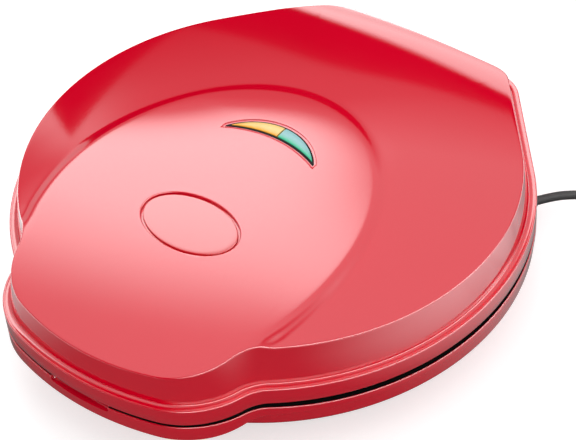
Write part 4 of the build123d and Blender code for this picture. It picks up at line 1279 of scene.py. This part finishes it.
def dress():
    """Makes the materials and gives every CAD node its own."""
    looks = {
        "red": red_gloss(),
        "badge": red_gloss("badge_red", (0.62, 0.02, 0.03), (0.70, 0.03, 0.04)),
        "black": satin_plastic("black_plastic", (0.012, 0.012, 0.013), 0.4),
        "frame": satin_plastic("frame_black", (0.014, 0.014, 0.015), 0.35),
        "rubber": satin_plastic("black_rubber", (0.02, 0.02, 0.02), 0.7, 2200.0),
        "coating": satin_plastic("non_stick", (0.016, 0.016, 0.017), 0.32, 3000.0),
        "steel": metal("screw_steel", (0.62, 0.62, 0.63), 0.28),
        "bright": metal("bright_sheet", (0.82, 0.82, 0.83), 0.2),
        "sheath": metal("element_sheath", (0.30, 0.27, 0.25), 0.4),
        "brass": metal("pin_brass", (0.80, 0.66, 0.40), 0.22),
        "bezel": satin_plastic("bezel_black", (0.006, 0.003, 0.003), 0.4, specular=0.15),
        # Painted shade: black without gloss, for the bead in the shaded gap between the halves
        "trim": satin_plastic("trim_black", (0.003, 0.003, 0.003), 0.7, specular=0.0),
        # The last number is the strength of each lens's painted glow
        "amber": clear_plastic("amber_clear", (0.90, 0.36, 0.0), (0.88, 0.60, 0.22), 0.04),
        "green": clear_plastic("green_clear", (0.0, 0.50, 0.22), (0.27, 0.50, 0.52), 0.05),
        "cream": satin_plastic("cream_ceramic", (0.72, 0.68, 0.58), 0.5),
        "glass": satin_plastic("lamp_glass", (0.9, 0.75, 0.6), 0.1),
    }
    wearers = {
        "red": ("base_shell", "lid_shell"), "badge": ("badge_plaque",), "bezel": ("window_bezel",),
        "amber": ("amber_lens",), "green": ("green_lens",), "frame": ("base_frame", "lid_frame"),
        "coating": ("lower_plate", "upper_plate"), "rubber": ("feet", "strain_relief", "inner_cord"),
        "black": ("cord_tie", "plug_body"), "brass": ("plug_pins",), "glass": ("indicator_lamps",),
        "cream": ("thermostat", "terminal_block", "lower_thermal_fuse", "upper_thermal_fuse",
                  "lamp_holder"),
        "bright": ("lower_reflector", "upper_reflector"), "sheath": ("lower_element", "upper_element"),
    }
    worn = {name: looks[key] for key, names in wearers.items() for name in names}
    for name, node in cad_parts.items():
        dressed(node, worn.get(name, looks["steel"]))
    return looks


# Studio

def make_camera():
    data = bpy.data.cameras.new("camera")
    data.lens = camera_lens
    data.sensor_width = 36.0
    data.shift_x, data.shift_y = camera_shift
    data.clip_end = 20.0
    camera = linked("camera", data)
    ca, sa = cos(camera_azimuth), sin(camera_azimuth)
    ce, se = cos(camera_elevation), sin(camera_elevation)
    back = Vector((sa * ce, -ca * ce, se))
    level = Vector((ca, sa, 0.0))
    up = back.cross(level)
    right = level * cos(camera_roll) + up * sin(camera_roll)
    top = up * cos(camera_roll) - level * sin(camera_roll)
    place = Vector((0.0, plate_y, parting_z)) + back * camera_distance
    camera.matrix_world = Matrix.Translation(place) @ Matrix((right, top, back)).transposed().to_4x4()
    bpy.context.scene.camera = camera


def toward(azimuth, elevation):
    """Direction with the azimuth counted from +Y towards +X, both in degrees."""
    a, e = radians(azimuth), radians(elevation)
    return Vector((sin(a) * cos(e), cos(a) * cos(e), sin(e)))


def edge_through(first, second):
    """Upward normal of the plane through the eye and two directions."""
    normal = toward(*first).cross(toward(*second)).normalized()
    return normal if normal.z > 0 else -normal


def make_world():
    """White to the camera; to gloss a bright horizon, black flags over it, a sky and a soft box."""
    world = bpy.data.worlds.new("studio")
    bpy.context.scene.world = world
    world.use_nodes = True
    world.cycles.sampling_method = "NONE"
    look = Look("studio", world.node_tree)
    ray = look.node("ShaderNodeTexCoord", output="Generated")
    rise = look.node("ShaderNodeSeparateXYZ", {}, {0: ray}, output=2)

    def levels(stops):
        return look.node("ShaderNodeValToRGB", {"stops": stops}, {0: rise})

    def facing(way):
        return look.dot(ray, way)

    def past(value, low, high):
        return look.stretch(value, low, high, "SMOOTHSTEP")

    # Edges of the flags
    top_open = past(facing(edge_through(*flag_top)), *flag_blur)
    side_open = past(facing(edge_through(*flag_side)), *flag_blur)
    low_open = past(facing(-toward(flag_low + 90.0, 0.0)), *flag_low_blur)
    open_side = 1.0 - (1.0 - side_open) * (1.0 - low_open)
    behind = past(facing(toward(behind_azimuth, 0.0)), *behind_blur)
    # Spot at the left and strip for the right rim
    side = look.exponent((facing(toward(*side_place)) - 1.0) * side_tightness) * side_strength
    rim_off = facing(edge_through(*rim_strip))
    rim = look.exponent(rim_off * rim_off * -rim_tightness)
    rim = rim * past(facing(toward(*rim_middle)), *rim_fade) * rim_strength
    # Soft box
    level_way = toward(box_azimuth + 90.0, 0.0)
    up_way = toward(box_azimuth, box_elevation + 90.0)
    along = facing(level_way * cos(box_tilt) + up_way * sin(box_tilt))
    across = facing(up_way * cos(box_tilt) - level_way * sin(box_tilt))
    spread = along * along * box_tightness[0] + across * across * box_tightness[1]
    box = past(spread, box_reach, 0.0) * past(facing(toward(box_azimuth, box_elevation)), 0.0, 0.3)
    # Band over the horizon and sky
    right_band = past(facing(toward(band_edge + 90.0, 0.0)), *band_edge_blur)
    below_top = past(facing(-edge_through(*band_top)), *band_top_blur)
    band = levels(band_levels) * band_strength * (right_band * below_top + low_open * band_left)
    sky = levels(sky_levels) * sky_strength * top_open
    glossy = (band + (sky + box * box_strength + side) * open_side) * behind + rim
    gloss_ray = look.ray_is("Glossy")
    seen = look.ray_is("Camera") + look.ray_is("Transmission")
    even = look.stretch(rise, -0.1, 1.0, start=even_low, end=even_high)
    unseen = gloss_ray * glossy + (1.0 - gloss_ray) * even
    strength = seen + (1.0 - seen) * unseen
    surface = look.node("ShaderNodeBackground", {}, {"Color": (1.0, 1.0, 1.0, 1.0), "Strength": strength})
    look.node("ShaderNodeOutputWorld", {}, {"Surface": surface})


def make_floor():
    """White to the camera but for the shadow; to gloss, darker with painted shade and with a painted pool
    of light on each side.
    """
    bpy.ops.mesh.primitive_plane_add(size=floor_size, location=(0.0, 0.0, -0.0002))
    floor = bpy.context.object
    floor.name = "floor"
    look = Look("pale_floor")
    seen = look.ray_is("Camera")
    mirrored = look.ray_is("Glossy")

    def pool(azimuth, strength):
        share = look.stretch(look.dot(look.place(), toward(azimuth, 0.0)), pool_start, pool_end)
        return share * share * strength

    # Painted pools of light, seen only in reflections
    pools = pool(pool_azimuth, pool_strength) + pool(pool_azimuth + 180.0, left_pool_strength)
    glow = seen * floor_lift + mirrored * pools
    # Painted shade: reflections see the floor darker than the camera does
    tone = look.between(mirrored, (floor_pale,) * 3, (floor_glossy,) * 3)
    floor.data.materials.append(look.finish(Base_Color=tone, Roughness=0.9, Specular_IOR_Level=0.0,
                                            Emission_Color=glow, Emission_Strength=1.0))


def make_lamp(name, azimuth, elevation, size, power):
    data = bpy.data.lights.new(name, "AREA")
    data.shape = "DISK"
    data.size = size
    data.energy = power
    lamp = linked(name, data)
    way = toward(azimuth, elevation)
    lamp.location = way * lamp_distance
    lamp.rotation_mode = "QUATERNION"
    lamp.rotation_quaternion = way.to_track_quat("Z", "Y")
    lamp.visible_glossy = False
    lamp.visible_camera = False


bpy.context.scene.view_settings.view_transform = "Standard"
make_camera()
cord = make_cord()
looks = dress()
dressed(cord, looks["rubber"])
dressed(make_lid(), looks["red"])
dressed(make_base(), looks["red"])
dressed(make_trim(), looks["trim"])
dressed(make_bezel(), looks["bezel"])
dressed(make_lens("amber_pane", -1, "amber_lens"), looks["amber"])
dressed(make_lens("green_pane", 1, "green_lens"), looks["green"])
dressed(make_badge(), looks["badge"])
dressed(make_plate(1), looks["coating"])
dressed(make_plate(-1), looks["coating"])
for screws in make_screws():
    dressed(screws, looks["steel"])
dressed(make_feet(), looks["rubber"])
dressed(make_relief(), looks["rubber"])
tie = make_tie()
plug = make_plug()
pins = make_pins()
dressed(tie, looks["black"])
dressed(plug, looks["black"])
dressed(pins, looks["brass"])
for piece in (cord, tie, plug, pins):
    piece.visible_glossy = False
make_world()
make_floor()
make_lamp("key_lamp", -50.0, 50.0, 1.6, 14.0)
make_lamp("top_lamp", 60.0, 75.0, 2.4, 8.0)
make_lamp("right_lamp", 100.0, 38.0, 1.4, 4.0)

deselect_all()
